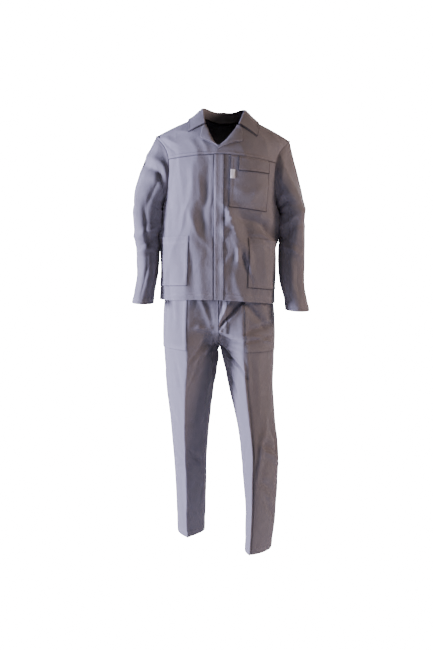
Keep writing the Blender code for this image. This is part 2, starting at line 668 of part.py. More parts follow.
def add_yoke(side, armhole, cloth):
    """A front yoke, from the yoke seam to the shoulder seam."""
    rises = np.array([rise for rise in ARMHOLE_ROWS if rise >= YOKE_RISE])
    angles = yoke_angles(side, rises)
    points, normals = side_grid(side, angles, rises)
    stretch = np.ones(angles.shape)
    own = armhole_rows_of(*armhole, back=False)
    normals[:, -1] = own[0][-len(rises):]
    stretch[:, -1] = own[1][-len(rises):]
    points[-1, -1, 1] -= CORNER_GAP
    add_panel(f"jacket_yoke_{side}", points, normals, cloth, stretch)


def back_neck_rise(x):
    """How high the back reaches under the collar."""
    return 2 - (2 - BACK_NECK_RISE) * (1 - (np.abs(x) / NECK_HALF) ** BACK_NECK_POWER)


def back_half_grid(side):
    """Angles and rises of half the back, columns from the side to the centre."""
    shoulder = yoke_angles(side, [2.0])[0][::-1]
    shoulder_share = (math.pi / 2 - shoulder) / (math.pi / 2)
    neck_share = np.linspace(shoulder_share[-1], 1, NECK_CELLS + 1)[1:]
    share = np.concatenate([shoulder_share, neck_share])
    top_x = np.sin(math.pi / 2 + share * math.pi / 2) ** (2 / BODY_POWER) * SHOULDER_HALF
    top_x = np.minimum(np.nan_to_num(top_x), SHOULDER_HALF)
    top_rise = np.where(np.arange(len(share)) < FRONT_COLUMNS, 2.0, back_neck_rise(top_x))
    rows = list(FRONT_ROWS[:-1]) + list(ARMHOLE_ROWS)
    angles, rises = [], []
    for row in rows:
        edge = back_side_angle(np.array(row))
        angles.append(edge + (math.pi - edge) * share)
        rises.append(np.where(row <= 1, row, 1 + (row - 1) * (top_rise - 1)))
    return np.array(angles), np.array(rises)


def add_back(armholes, cloth):
    """The one-piece back. Returns the points of the neck edge, from the wearer's right to the left."""
    halves = {}
    for side in SIDES:
        angles, rises = back_half_grid(side)
        points, normals = side_grid(side, angles, rises)
        stretch = np.ones(angles.shape)
        start = len(FRONT_ROWS) - 1
        own = armhole_rows_of(*armholes[side], back=True)
        normals[start:, 0] = own[0]
        stretch[start:, 0] = own[1]
        points[-1, 0, 1] += CORNER_GAP
        points[:, -1, 0] = 0.0
        normals[:, -1, 0] = 0.0
        halves[side] = (points, unit(normals), stretch)
    points, normals, stretch = (
        np.concatenate([halves["left"][k], halves["right"][k][:, -2::-1]], axis=1) for k in range(3)
    )
    add_panel("jacket_back", points, normals, cloth, stretch)
    neck = points[-1, FRONT_COLUMNS - 1 : -(FRONT_COLUMNS - 1)]
    return neck[::-1]


def jacket_place(side, x, rise, back):
    """A point of the jacket on one side, at a distance from the centre plane, and its normal."""
    angle = angle_at_x(x, rise)
    angle = math.pi - angle if back else angle
    sign = side_sign(side)
    point = jacket_point(sign * angle, rise)
    normal = surface_normals(jacket_point, np.array(sign * angle), np.minimum(rise, 2 - STEP))
    return point, normal


def collar_stations(neck_edge):
    """Stations round the neck from the wearer's right to the left, each with its place on the seam.

    Every second station is halfway between two points of the neck edge, on the straight run
    between them, so that the stand follows the edge of the yokes and the back.
    """
    rises = [rise for rise in ARMHOLE_ROWS if rise >= COLLAR_START_RISE]
    halves = {}
    for side in SIDES:
        own = []
        for rise, row in zip(rises, COLLAR_FRONT[side]):
            x = float(front_edge_x(side, rise))
            own.append([x, rise, *row, *jacket_place(side, x, rise, False)[0]])
        half_edge = neck_edge if side == "right" else neck_edge[::-1]
        for place, row in zip(half_edge[1:], COLLAR_BACK):
            own.append([abs(place[0]), float(back_neck_rise(place[0])), *row, *place])
        own = np.array(own)
        middles = (own[1:] + own[:-1]) / 2
        dense = np.empty((len(own) + len(middles), own.shape[1]))
        dense[0::2] = own
        dense[1::2] = middles
        backs = np.arange(len(dense)) >= 2 * len(COLLAR_FRONT[side]) - 1
        halves[side] = [(side, bool(back), row) for back, row in zip(backs, dense)]
    return halves["right"] + halves["left"][-2::-1]


def collar_section(side, back, station):
    """The collar's outer and inner points at one station: stand, fold and fall."""
    x, rise, edge_x, edge_rise, stand, lean = station[:6]
    seam = station[6:]
    up = np.array([0.0, 0.0, 1.0])
    toward = unit(np.array([0.0, SHOULDER_Y, seam[2]]) - seam)
    straight = stand - COLLAR_FOLD_RADIUS
    base_out = seam + toward * (SEAM_GAP + CLOTH)
    base_in = seam + toward * SEAM_GAP
    centre = base_out + toward * (lean - COLLAR_FOLD_RADIUS) + up * straight
    halfway = toward * lean / 2 + up * straight / 2
    outer = [base_out, base_out + halfway]
    inner = [base_in, base_in + halfway]
    for bend in COLLAR_FOLD_TURNS:
        angle = math.radians(bend)
        ray = toward * math.cos(angle) + up * math.sin(angle)
        outer.append(centre + ray * COLLAR_FOLD_RADIUS)
        inner.append(centre + ray * (COLLAR_FOLD_RADIUS - CLOTH))
    for k in range(1, COLLAR_FALL_CELLS + 1):
        t = k / COLLAR_FALL_CELLS
        point, normal = jacket_place(side, x + (edge_x - x) * t, rise + (edge_rise - rise) * t, back)
        height = SEAM_GAP + COLLAR_LIFT + straight * (1 - t) ** COLLAR_SETTLE_POWER
        inner.append(point + unit(normal * t + up * (1 - t)) * height)
        outer.append(inner[-1] + normal * CLOTH)
    return outer, inner


def add_collar(neck_edge, cloth):
    """The collar: a stand inside the neck edge, a fold, and a fall that lies round the shoulders."""
    sections = [collar_section(*station) for station in collar_stations(neck_edge)]
    outer = np.array([section[0] for section in sections])
    inner = np.array([section[1] for section in sections])
    add_solid("jacket_collar", outer, inner, cloth)


def add_lapel(side, cloth):
    """A lapel: the top of a front, turned out along the roll line over the yoke."""
    outer, inner = [], []
    for row in LAPEL_ROWS[side]:
        start_x = float(front_edge_x(side, row.roll_rise)) - LAPEL_OVERHANG
        line_out, line_in = [], []
        for k in range(LAPEL_CELLS + 1):
            t = k / LAPEL_CELLS
            x = start_x + (row.edge_x - start_x) * t
            rise = row.roll_rise + (row.edge_rise - row.roll_rise) * t
            point, normal = jacket_place(side, x, rise, False)
            low = point + normal * (SEAM_GAP + LAPEL_LIFT[side] + LAPEL_PUFF * math.sin(math.pi * t))
            line_in.append(low)
            line_out.append(low + normal * PATCH_CLOTH)
        outer.append(line_out)
        inner.append(line_in)
    add_solid(f"jacket_lapel_{side}", np.array(outer), np.array(inner), cloth)


def rows_between(rises, low, high):
    """The slice of rows from one height to another."""
    first = int(np.argmin(np.abs(rises - low)))
    last = int(np.argmin(np.abs(rises - high)))
    return slice(first, last + 1)


def add_jacket(cloth, tab_cloth):
    """Every piece of the jacket."""
    armholes = {side: add_sleeve(side, cloth) for side in SIDES}
    fronts = {}
    for side in SIDES:
        fronts[side] = add_front(side, armholes[side], cloth)
        add_yoke(side, armholes[side], cloth)
        add_lapel(side, cloth)
        points, normals, rises = fronts[side]
        block = (rows_between(rises, *LOWER_POCKET_ROWS), slice(LOWER_POCKET_COLUMN, FRONT_COLUMNS))
        add_patch(f"lower_pocket_{side}", points[block], normals[block], cloth, POCKET_MARGIN)
    neck_edge = add_back(armholes, cloth)
    add_collar(neck_edge, cloth)
    points, normals, rises = fronts["left"]
    placket = (slice(0, len(rises)), slice(0, PLACKET_COLUMN + 1))
    add_patch("jacket_placket", points[placket], normals[placket], cloth, SEAM_GAP)
    pocket = (rows_between(rises, *CHEST_POCKET_ROWS), slice(CHEST_POCKET_COLUMN, OUTER_CHEST_COLUMN + 1))
    add_patch("chest_pocket", points[pocket], normals[pocket], cloth, POCKET_MARGIN)
    flap = (rows_between(rises, *FLAP_ROWS), slice(FLAP_COLUMN, OUTER_CHEST_COLUMN + 1))
    lift = SEAM_GAP + PATCH_CLOTH + FLAP_LIFT
    add_patch("chest_pocket_flap", points[flap], normals[flap], cloth, SEAM_GAP, lift)
    add_tab(fronts["left"], tab_cloth)


def add_tab(front, tab_cloth):
    """The small woven tab, sewn on the pocket beside the flap's lower corner."""
    points, normals, rises = front
    row = rows_between(rises, *FLAP_ROWS).start
    start = points[row, CHEST_POCKET_COLUMN]
    column_after = points[row, FLAP_COLUMN]
    row_below = points[row - 1]
    across = unit(column_after - start)
    down = unit(row_below[CHEST_POCKET_COLUMN] - start)
    corner = start + across * TAB_MARGIN - down * TAB_MARGIN
    drops = (TAB_HEIGHT, TAB_HEIGHT / 2, 0.0)
    corners = [[corner + across * step + down * drop for step in (0.0, TAB_WIDTH)] for drop in drops]
    normal = normals[row, CHEST_POCKET_COLUMN]
    base = np.array(corners) + normal * (SEAM_GAP * 2 + PATCH_CLOTH + TAB_LIFT)
    add_solid("pocket_tab", base + normal * TAB_CLOTH, base, tab_cloth)


# ================================================================ trousers


def trouser_point(side, back, share, z):
    """A point of the trousers. share runs from the outer side seam to the inner seam."""
    sign = side_sign(side)
    rings = LEG_LEFT_RINGS if side == "left" else LEG_RIGHT_RINGS
    leg_turn = share * math.pi
    crease = read_table(rings, "crease", z)
    across = signed_power(np.cos(leg_turn), crease) * read_table(rings, "half_width", z) * sign
    folds = LEG_LEFT_FOLDS if side == "left" else LEG_RIGHT_FOLDS
    push = 0.0 if back else fold_height(folds, leg_turn * LEG_AROUND, z) * np.sin(leg_turn)
    depth = (read_table(rings, "half_depth", z) + push) * np.sin(leg_turn) * (1 if back else -1)
    turn = np.radians(read_table(rings, "turn", z))
    leg_x = read_table(rings, "centre_x", z) + across * np.cos(turn) + depth * np.sin(turn)
    leg_y = read_table(rings, "centre_y", z) + depth * np.cos(turn) - across * np.sin(turn)
    hip_turn = math.pi / 2 * (1 - (1 - share) ** HIP_TURN_POWER[side])
    half_width = read_table(HIP_RINGS, "half_width", z)
    hip_depth = read_table(HIP_RINGS, "back_depth" if back else "front_depth", z) + push
    centre_x = read_table(HIP_RINGS, "centre_x", z)
    hip_x = centre_x + sign * half_width * np.abs(np.cos(hip_turn)) ** (2 / HIP_POWER)
    hip_y = hip_depth * np.abs(np.sin(hip_turn)) ** (2 / HIP_POWER) * (1 if back else -1)
    up = np.clip((z - CROTCH_Z) / RISE_HEIGHT, 0, 1)
    blend = 1 - (1 - up) ** (2 + CENTRE_EASE * share**4)
    x = leg_x + (hip_x - leg_x) * blend
    y = leg_y + (hip_y - leg_y) * blend
    return np.stack([x, y, z + 0 * x], axis=-1)


def trouser_rows():
    """Heights of the panels' rows, from the hem to the waist."""
    leg = list(np.linspace(LEG_HEM_Z, FRONT_POCKET_BOTTOM_Z, LEG_CELLS)) + [CROTCH_Z]
    rise = [CROTCH_Z + RISE_HEIGHT * share for share in RISE_ROWS]
    hip = list(np.linspace(rise[-1], WAIST_Z, HIP_CELLS + 1))[1:]
    return np.array(leg + rise + hip)


def trouser_grid(side, back):
    """Points and outward normals of one leg panel."""
    z = trouser_rows()[:, None] + np.zeros(LEG_COLUMNS + 1)
    share = np.linspace(0, 1, LEG_COLUMNS + 1) + np.zeros(z.shape)
    points = trouser_point(side, back, share, z)
    rows = trouser_rows()
    on_centre = rows >= CROTCH_Z - STEP
    centre = read_table(HIP_RINGS, "centre_x", rows)
    points[on_centre, -1, 0] = centre[on_centre]
    along_share = trouser_point(side, back, np.clip(share + STEP, 0, 1), z)
    along_share = along_share - trouser_point(side, back, np.clip(share - STEP, 0, 1), z)
    along_z = trouser_point(side, back, share, z + STEP) - trouser_point(side, back, share, z - STEP)
    normals = unit(np.cross(along_share, along_z))
    faces_out = -1.0 if (side == "left") != back else 1.0
    normals = normals * faces_out
    up = np.clip((rows - CROTCH_Z) / RISE_HEIGHT, 0, 1)
    normals[:, -1, 0] *= (1 - up) ** CENTRE_FLATTEN
    return points, unit(normals)


def join_normals(first, second, column):
    """Makes two panels share the normals of a seam column."""
    shared = unit(first[:, column] + second[:, column])
    agree = np.sum(first[:, column] * second[:, column], axis=-1) > 0
    for normals in (first, second):
        normals[agree, column] = shared[agree]


def add_trousers(cloth, button_finish):
    """Every piece of the trousers."""
    rows = trouser_rows()
    for side in SIDES:
        front_points, front_normals = trouser_grid(side, False)
        back_points, back_normals = trouser_grid(side, True)
        join_normals(front_normals, back_normals, 0)
        join_normals(front_normals, back_normals, -1)
        add_panel(f"trouser_front_{side}", front_points, front_normals, cloth)
        add_panel(f"trouser_back_{side}", back_points, back_normals, cloth)
        pocket_rows = rows_between(rows, FRONT_POCKET_BOTTOM_Z, WAIST_Z)
        pocket = (pocket_rows, slice(0, LEG_COLUMNS // 2 + 1))
        add_patch(f"front_pocket_{side}", front_points[pocket], front_normals[pocket], cloth, POCKET_MARGIN)
        if side == "left":
            fly = (rows_between(rows, FLY_BOTTOM_Z, WAIST_Z), slice(LEG_COLUMNS - FLY_COLUMNS, None))
            fly_points = front_points[fly]
            fly_normals = front_normals[fly].copy()
            fly_normals[:, -1, 0] = 0.0
            lift = np.linspace(FLY_LIFT_LOW, FLY_LIFT_HIGH, len(fly_points))[:, None, None]
            add_patch("fly", fly_points, unit(fly_normals), cloth, FLY_MARGIN, lift)
    add_waistband(cloth)
    add_waist_button(button_finish)


def add_waistband(cloth):
    """A closed band on top of the panels."""
    rings = []
    for z in (WAIST_Z + SEAM_GAP, (WAIST_Z + WAISTBAND_TOP_Z) / 2, WAISTBAND_TOP_Z):
        half = np.linspace(0, 1, LEG_COLUMNS + 1)
        parts = [
            trouser_point("left", False, half, np.array(z)),
            trouser_point("right", False, half[::-1], np.array(z))[1:],
            trouser_point("right", True, half, np.array(z))[1:],
            trouser_point("left", True, half[::-1], np.array(z))[1:-1],
        ]
        rings.append(np.concatenate(parts))
    points = np.array(rings)
    normals = grid_normals(points)
    if np.sum(normals[0, 0] * points[0, 0]) < 0:
        normals = -normals
    add_solid("waistband", points + normals * WAISTBAND_STAND, points - normals * CLOTH, cloth, ring=True)


def add_waist_button(finish):
    """The flat button at the front of the waistband."""
    middle_z = (WAIST_Z + WAISTBAND_TOP_Z) / 2
    front = trouser_point("left", False, np.array(1.0), np.array(middle_z))
    place = (0.0, float(front[1]) - WAISTBAND_STAND - SEAM_GAP - BUTTON_THICKNESS / 2, middle_z)
    mesh = bpy.data.meshes.new("waist_button")
    disc = bmesh.new()
    bmesh.ops.create_cone(
        disc,
        cap_ends=True,
        segments=BUTTON_SIDES,
        radius1=BUTTON_RADIUS,
        radius2=BUTTON_RADIUS,
        depth=BUTTON_THICKNESS,
    )
    disc.to_mesh(mesh)
    disc.free()
    mesh.materials.append(finish)
    button = bpy.data.objects.new("waist_button", mesh)
    button.location = place
    button.rotation_euler = (math.pi / 2, 0, 0)
    bpy.data.collections[SUIT_NAME].objects.link(button)


# ================================================================ the whole suit


def add_material(name, colour, roughness):
    """A plain Principled finish."""
    material = bpy.data.materials.new(name)
    material.use_nodes = True
    shader = material.node_tree.nodes["Principled BSDF"]
    shader.inputs["Base Color"].default_value = (*colour, 1.0)
    shader.inputs["Roughness"].default_value = roughness
    shader.inputs["Metallic"].default_value = 0.0
    return material


def main():
    """Clears the scene and models the suit."""
    for old in list(bpy.data.objects):
        bpy.data.objects.remove(old)
    collection = bpy.data.collections.new(SUIT_NAME)
    bpy.context.scene.collection.children.link(collection)
    cloth = add_material("grey_twill", CLOTH_COLOUR, CLOTH_ROUGHNESS)
    tab_cloth = add_material("woven_tab", TAB_COLOUR, CLOTH_ROUGHNESS)
    button_finish = add_material("grey_button", BUTTON_COLOUR, BUTTON_ROUGHNESS)
    add_jacket(cloth, tab_cloth)
    add_trousers(cloth, button_finish)


main()
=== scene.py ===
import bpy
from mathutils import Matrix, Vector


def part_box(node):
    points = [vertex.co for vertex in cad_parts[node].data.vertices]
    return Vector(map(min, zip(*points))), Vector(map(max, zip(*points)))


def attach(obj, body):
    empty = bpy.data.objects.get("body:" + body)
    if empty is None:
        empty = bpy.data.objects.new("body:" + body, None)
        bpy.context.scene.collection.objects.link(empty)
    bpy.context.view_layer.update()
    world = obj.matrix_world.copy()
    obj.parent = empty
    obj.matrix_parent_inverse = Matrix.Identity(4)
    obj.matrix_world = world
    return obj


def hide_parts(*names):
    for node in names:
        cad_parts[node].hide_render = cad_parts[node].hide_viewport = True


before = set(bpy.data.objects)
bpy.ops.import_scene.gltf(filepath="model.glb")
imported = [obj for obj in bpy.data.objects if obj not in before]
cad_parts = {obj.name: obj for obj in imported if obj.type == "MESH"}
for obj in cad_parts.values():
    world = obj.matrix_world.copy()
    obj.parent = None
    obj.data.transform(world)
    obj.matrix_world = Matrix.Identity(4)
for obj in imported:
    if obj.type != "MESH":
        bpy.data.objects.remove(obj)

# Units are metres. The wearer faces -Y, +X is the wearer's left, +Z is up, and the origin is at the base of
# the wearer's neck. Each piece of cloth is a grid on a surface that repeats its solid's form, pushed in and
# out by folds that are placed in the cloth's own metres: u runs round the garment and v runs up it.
"""A grey two-piece work suit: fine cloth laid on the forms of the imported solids.

Units are metres. The wearer faces -Y, +X is the wearer's left, +Z is up, and the origin is at the
base of the wearer's neck. Each piece of cloth is a grid on a surface that repeats its solid's form,
pushed in and out by folds that are placed by hand in the cloth's own metres: u runs round the
garment and v runs up it.
"""

import logging
import math
from dataclasses import astuple, dataclass, field
from enum import Enum

import bpy
import numpy as np
from mathutils import Matrix, Vector

Array = np.ndarray
Three = tuple[float, float, float]
LOG = logging.getLogger("work_suit")
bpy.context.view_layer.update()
STEP = 1e-4
SHARP_ANGLE = math.radians(50)


# ========== small maths


class Side(Enum):
    """A side of the wearer; the value is the sign of its X."""

    RIGHT = -1
    LEFT = 1

    @property
    def word(self) -> str:
        """The side's name in the nodes' names."""
        return self.name.lower()


class Face(Enum):
    """The half of a trouser leg; the value is the sign of its Y."""

    FRONT = -1
    BACK = 1


class Edge(Enum):
    """An edge of a grid of cloth; the value is the axis that it ends and whether it is at the far end."""

    LOW = (0, False)
    HIGH = (0, True)
    FIRST = (1, False)
    LAST = (1, True)

    @property
    def axis(self) -> int:
        """0 where the edge is a row, 1 where it is a column."""
        return self.value[0]

    @property
    def far(self) -> bool:
        """Whether the edge is the last row or column."""
        return self.value[1]


def unit(vectors: Array) -> Array:
    """Vectors made one long."""
    return vectors / np.maximum(np.linalg.norm(vectors, axis=-1, keepdims=True), 1e-12)


def signed_power(base: Array, exponent: float | Array) -> Array:
    """A power that keeps the sign of its base."""
    return np.sign(base) * np.abs(base) ** exponent


def ramp(low: float, high: float, value: Array) -> Array:
    """A smooth step from 0 at low to 1 at high."""
    t = np.clip((value - low) / (high - low), 0, 1)
    return t * t * (3 - 2 * t)


def bump(distance: Array, width: float) -> Array:
    """A soft bump, 1 where the distance is 0."""
    return np.exp(-((distance / width) ** 2))


def spline(t: Array | float, start: Array, end: Array, leave: Array, arrive: Array) -> Array:
    """A cubic curve at t, from its ends and its slopes there."""
    first = (1 + 2 * t) * (1 - t) ** 2 * start + t * (1 - t) ** 2 * leave
    return first + t**2 * (3 - 2 * t) * end + t**2 * (t - 1) * arrive


def read_table(keys: Array, values: Array, at: Array | float) -> Array:
    """A smooth value between the rows of a table.

    Args:
        keys: The rows' places, rising.
        values: The rows' values.
        at: Where the table is read.

    Returns:
        The value at each place, held at the table's ends.
    """
    slopes = np.gradient(values, keys)
    at = np.clip(at, keys[0], keys[-1])
    low = np.clip(np.searchsorted(keys, at) - 1, 0, len(keys) - 2)
    span = keys[low + 1] - keys[low]
    t = (at - keys[low]) / span
    return spline(t, values[low], values[low + 1], span * slopes[low], span * slopes[low + 1])


def records(kind: type, *rows: tuple[float, ...]) -> tuple:
    """Records of one kind from rows of their fields in order."""
    return tuple(kind(*row) for row in rows)


def columns_of(rows: tuple) -> Array:
    """A table of records as one array for each field."""
    return np.array([astuple(row) for row in rows]).T


def read_rings(rings: tuple, z: Array | float) -> list[Array]:
    """The sizes of a table of rings, in their order, read at any height."""
    heights, *columns = columns_of(rings)
    return [read_table(heights, column, z) for column in columns]


def reach(points: Array, axis: int) -> Array:
    """How far each point of a grid is from the start of its row or column."""
    steps = np.linalg.norm(np.diff(points, axis=axis), axis=-1)
    start = np.zeros_like(np.take(steps, [0], axis=axis))
    return np.concatenate([start, np.cumsum(steps, axis=axis)], axis=axis)


def read_along(run: Array, values: Array, at: Array | float) -> Array:
    """Points or normals read at places along a run."""
    return np.stack([np.interp(at, run, values[:, k]) for k in range(3)], axis=-1)


def grid_normals(points: Array, ring: bool = False) -> Array:
    """Normals of a grid of points, whose columns close into a ring if asked."""
    along = np.gradient(points, axis=0)
    if ring:
        wrapped = np.concatenate([points[:, -1:], points, points[:, :1]], axis=1)
        around = wrapped[:, 2:] - wrapped[:, :-2]
    else:
        around = np.gradient(points, axis=1)
    return unit(np.cross(around, along))


NEAR_EDGE = (0.0, 0.0006, 0.0013, 0.0021, 0.0032, 0.0047, 0.0064, 0.0078, 0.0095, 0.0125)


def shares(length: float, step: float, low_edge: bool = True, high_edge: bool = True) -> Array:
    """Places along a length as shares of it, close together near its ends.

    Args:
        length: The length in metres.
        step: The spacing away from the ends.
        low_edge: Whether the start has the close spacing.
        high_edge: Whether the end has it.

    Returns:
        Rising shares from 0 to 1.
    """
    near = np.array(NEAR_EDGE)
    start = near if low_edge else near[:1]
    end = length - (near[::-1] if high_edge else near[:1])
    count = max(2, int(round((end[0] - start[-1]) / step)) + 1)
    middle = np.linspace(start[-1], end[0], count)
    return np.concatenate([start[:-1], middle, end[1:]]) / length


# ========== folds


@dataclass(frozen=True)
class SlackNoise:
    """Smooth seeded unevenness over the cloth."""

    seed: int
    size: int = 61

    def at(self, u: Array, v: Array, cell: float, period: float = 0.0) -> Array:
        """The unevenness, from -1 to 1, in patches one cell wide; u repeats after the period, if any."""
        table = np.random.RandomState(self.seed).uniform(-1, 1, (self.size, self.size))
        count = max(1, round(period / cell)) if period else self.size
        x, y = u / (period / count if period else cell), v / cell
        i, j = np.floor(x).astype(int), np.floor(y).astype(int)
        fx, fy = x - i, y - j
        fx, fy = fx**3 * (fx * (fx * 6 - 15) + 10), fy**3 * (fy * (fy * 6 - 15) + 10)
        i0, i1, j0, j1 = i % count, (i + 1) % count, j % self.size, (j + 1) % self.size
        low = table[i0, j0] * (1 - fx) + table[i1, j0] * fx
        return low * (1 - fy) + (table[i0, j1] * (1 - fx) + table[i1, j1] * fx) * fy


@dataclass(frozen=True)
class Crease:
    """A fold along a line in the cloth: a ridge, or a trough where its height is negative.

    bow bends the line sideways at its middle, sharp draws the crest together, lean makes one flank
    steeper, taper is the share of the length over which each end fades, and hollow is the depth of
    the dips beside it.
    """

    u: float
    v: float
    to_u: float
    to_v: float
    width: float
    height: float
    bow: float = 0.0
    sharp: float = 0.7
    lean: float = 0.0
    taper: float = 0.38
    hollow: float = 0.35

    def push(self, u: Array, v: Array) -> Array:
        """How far the fold moves the cloth out at each place."""
        run = np.array([self.to_u - self.u, self.to_v - self.v])
        length = float(np.hypot(*run))
        run = run / length
        along = ((u - self.u) * run[0] + (v - self.v) * run[1]) / length
        across = (u - self.u) * run[1] - (v - self.v) * run[0]
        held = np.clip(along, 0, 1)
        across = across - self.bow * 4 * held * (1 - held)
        fade = ramp(-self.taper, self.taper, along) * ramp(-self.taper, self.taper, 1 - along)
        d = across / (self.width * (0.65 + 0.35 * fade))
        d = np.where(d * self.lean > 0, d * (1 + abs(self.lean)), d * (1 - 0.4 * abs(self.lean)))
        crest = np.exp(-1.7 * (np.sqrt(d * d + 0.012) - 0.11))
        crown = (1 - self.sharp) * bump(d, 1.0) + self.sharp * crest
        dips = bump(d - 1.9, 0.85) + bump(d + 1.9, 0.85)
        return self.height * fade * (crown - 0.5 * self.hollow * dips)


def folds(*rows: tuple[float, ...]) -> tuple[Crease, ...]:
    """Creases from rows of their fields in order, whose places, widths and heights are in millimetres."""
    return tuple(Crease(*[0.001 * size for size in row[:7]], *row[7:]) for row in rows)


@dataclass(frozen=True)
class FoldField:
    """All the folds of a piece of the garment, with the slack between them.

    The pressed ones run straight, where the others wander a little with the slack. sway is how far
    the slack moves the cloth, and its sign says which way its small crumples point.
    """

    creases: tuple[Crease, ...]
    seed: int
    pressed: tuple[Crease, ...] = ()
    sway: float = 0.0018
    drift: float = 0.006
    period: float = 0.0
    depth: float = 1.45
    slack_cell: float = 0.055
    crumple_cell: float = 0.034

    def push(self, u: Array, v: Array) -> Array:
        """How far the folds move the cloth out at each place."""
        noise, cell, period = SlackNoise(self.seed), self.slack_cell, self.period
        across = self.drift * noise.at(u + 0.2, v + 0.9, cell, period)
        along = self.drift * noise.at(u + 0.5, v + 0.4, cell, period)
        crumple = noise.at(u + across, v / 1.6 + along, self.crumple_cell, period)
        total = self.sway * (noise.at(u, v / 2.0, cell, period) - np.sqrt(crumple**2 + 0.004))
        for crease in self.creases:
            for turn in (-period, 0.0, period) if period else (0.0,):
                total = total + self.depth * crease.push(u + turn + across, v + along)
        return total

    def press(self, u: Array, v: Array) -> Array:
        """How far the pressed folds stand out at each place."""
        return sum((crease.push(u, v) for crease in self.pressed), np.zeros(np.broadcast(u, v).shape))


# The right front's creases come first, then the button band's, the left front's, the sides' and the back's.
JACKET_CREASES = folds(
    (-64, -125, -70, -520, 40, 6.2, 0, 1, 0, 0.2, 0),
    (-118, -100, -98, -205, 13, 1.6, 4, 0.7, 0.4),
    (-68, -150, -108, -310, 9, 2.2, -6, 0.5, -0.3),
    (-50, -165, -28, -240, 7, 1.8, 3, 0.5),
    (-28, -140, -28, -345, 16, -5.2, 3, 0.4),
    (230, -205, 230, -315, 34, 6, 0, 0.2, 0, 0.2, 0),
    (-230, -205, -230, -315, 34, 6, 0, 0.2, 0, 0.2, 0),
    (-16, -165, -10, -325, 5, -2, -2, 0.6),
    (-64, -250, -24, -340, 10, 2.6, 6, 0.5, 0.4),
    (-30, -320, -30, -530, 12, 2.2, 4, 0.7, -0.2),
    (-72, -315, -54, -470, 10, -2, -3),
    (-150, -150, -192, -275, 16, -2.4, 4),
    (-185, -215, -150, -320, 10, 2.4, -5, 0.7, 0.3),
    (-110, -330, -160, -450, 16, 2.6, 4),
    (-150, -340, -120, -520, 18, -2.2, 3),
    (-205, -180, -200, -250, 10, 3),
    (-47, -50, -26, -110, 7, 1.6, 2, 0.6),
    (-75, -50, -55, -112, 9, 1.3, -2),
    (-100, 40, -60, -20, 14, 1.6, 3),
    (-170, 30, -120, -50, 14, 2, 6),
    (-185, -10, -130, -85, 12, -1.6, 6),
    (2, -215, 18, -275, 6, 3.2, -3, 0.6),
    (18, -262, 7, -312, 6, 3, 2, 0.6),
    (6, -300, 18, -362, 6, 2.6, -2, 0.6),
    (18, -365, 8, -420, 6, 2.2, 2, 0.6),
    (8, -415, 18, -475, 6, 2, -2, 0.6),
    (12, -222, 74, -405, 11, 6.8, 5, 0.65, 0.55, 0.25),
    (16, -295, 38, -398, 9, 5.5, -5, 0.6, 0.3),
    (45, -330, 68, -405, 10, -7.5, 2),
    (50, -250, 165, -276, 18, -8, -4, 0.4, 0, 0.3, 0.3),
    (44, -222, 82, -318, 50, -11.5, 0, 0.4, 0.9, 0.3, 0),
    (140, -270, 215, -285, 20, -8, 4, 0.2),
    (75, -300, 200, -305, 8, 3, -2),
    (30, -410, 60, -520, 12, 2.8, 4, 0.7, 0.3),
    (62, -400, 82, -500, 10, -1.5, -3),
    (120, -350, 150, -500, 18, 2.8, 4),
    (165, -330, 185, -480, 16, -2.6, -4),
    (22, -175, 120, -192, 8, 1.6, 3, 0.6),
    (36, -225, 140, -168, 10, 2.2, -4, 0.6),
    (60, -220, 130, -205, 10, -2, 2),
    (60, 20, 120, -70, 14, 2, -4),
    (120, 50, 190, -40, 15, 1.8, -5),
    (30, -60, 60, -115, 9, 1.2),
    (205, -190, 250, -330, 17, 6, 6),
    (265, -230, 245, -440, 20, -5.5, 5),
    (310, -210, 345, -500, 22, 6.6, -8, 0.7, 0.3),
    (385, -170, 352, -400, 20, -4.8, 6),
    (430, -230, 405, -520, 22, 5.8, 6, 0.7, -0.3),
    (-245, -200, -225, -360, 18, 4.6, -5),
    (-270, -210, -285, -440, 19, -6, 6),
    (-325, -190, -335, -500, 22, 6.2, 8, 0.7, 0.3),
    (-390, -150, -365, -400, 19, -4.4, -5),
    (-430, -260, -400, -520, 22, 5, 5),
    (300, -90, 360, -180, 16, 4.6, 6),
    (-300, -90, -370, -170, 16, 4.2, -6),
    (330, -140, 410, -230, 14, 3.4, 5, 0.6),
    (-335, -150, -420, -250, 14, 3.6, -5, 0.6),
    (330, 20, 420, -60, 20, 2.4, 6),
    (-330, 10, -425, -80, 20, 2.4, -6),
)
JACKET_FOLDS = FoldField(JACKET_CREASES, seed=11)

RIGHT_SLEEVE_CREASES = folds(
    (0, -142, 130, -112, 10, -7.5, 3),
    (0, -122, 120, -94, 10, 4, 3),
    (30, -110, 46, -360, 24, 5, -6, 0.9, 0, 0.38, 0),
    (98, -100, 118, -350, 42, -13, 4, 0.3, 0, 0.38, 0),
    (200, -225, 200, -305, 34, 9, 0, 0.2, 0, 0.2, 0),
    (150, -190, 158, -330, 11, 4.6, -4, 0.7, 0.4),
    (85, -230, 110, -330, 12, -4.2, 4),
    (-140, -185, 20, -235, 14, -4.5, 6),
    (185, -290, 40, -345, 10, 4.6, 8, 0.6, -0.3),
    (190, -315, 60, -365, 10, -4.8, 6, 0.5),
    (60, -340, -60, -320, 13, 3.6, 4),
    (40, -385, 150, -352, 9, 4, -4, 0.6),
    (155, -350, 140, -470, 12, 3.4, 3, 0.7, 0.3),
    (100, -390, 90, -500, 14, -2.6, -3),
    (40, -410, 35, -520, 16, 2.2, 4),
    (-40, -280, -160, -360, 13, 4.2, 8, 0.5),
    (-30, -340, -170, -390, 12, -4, 6),
    (-60, -400, -180, -440, 13, 3, 5),
    (-100, -430, -90, -520, 15, 2),
    (-150, -150, -60, -250, 14, 3.8, -5),
    (20, -90, 80, -150, 13, 2.2, 4),
    (-120, -80, -30, -130, 14, 2, 4),
)
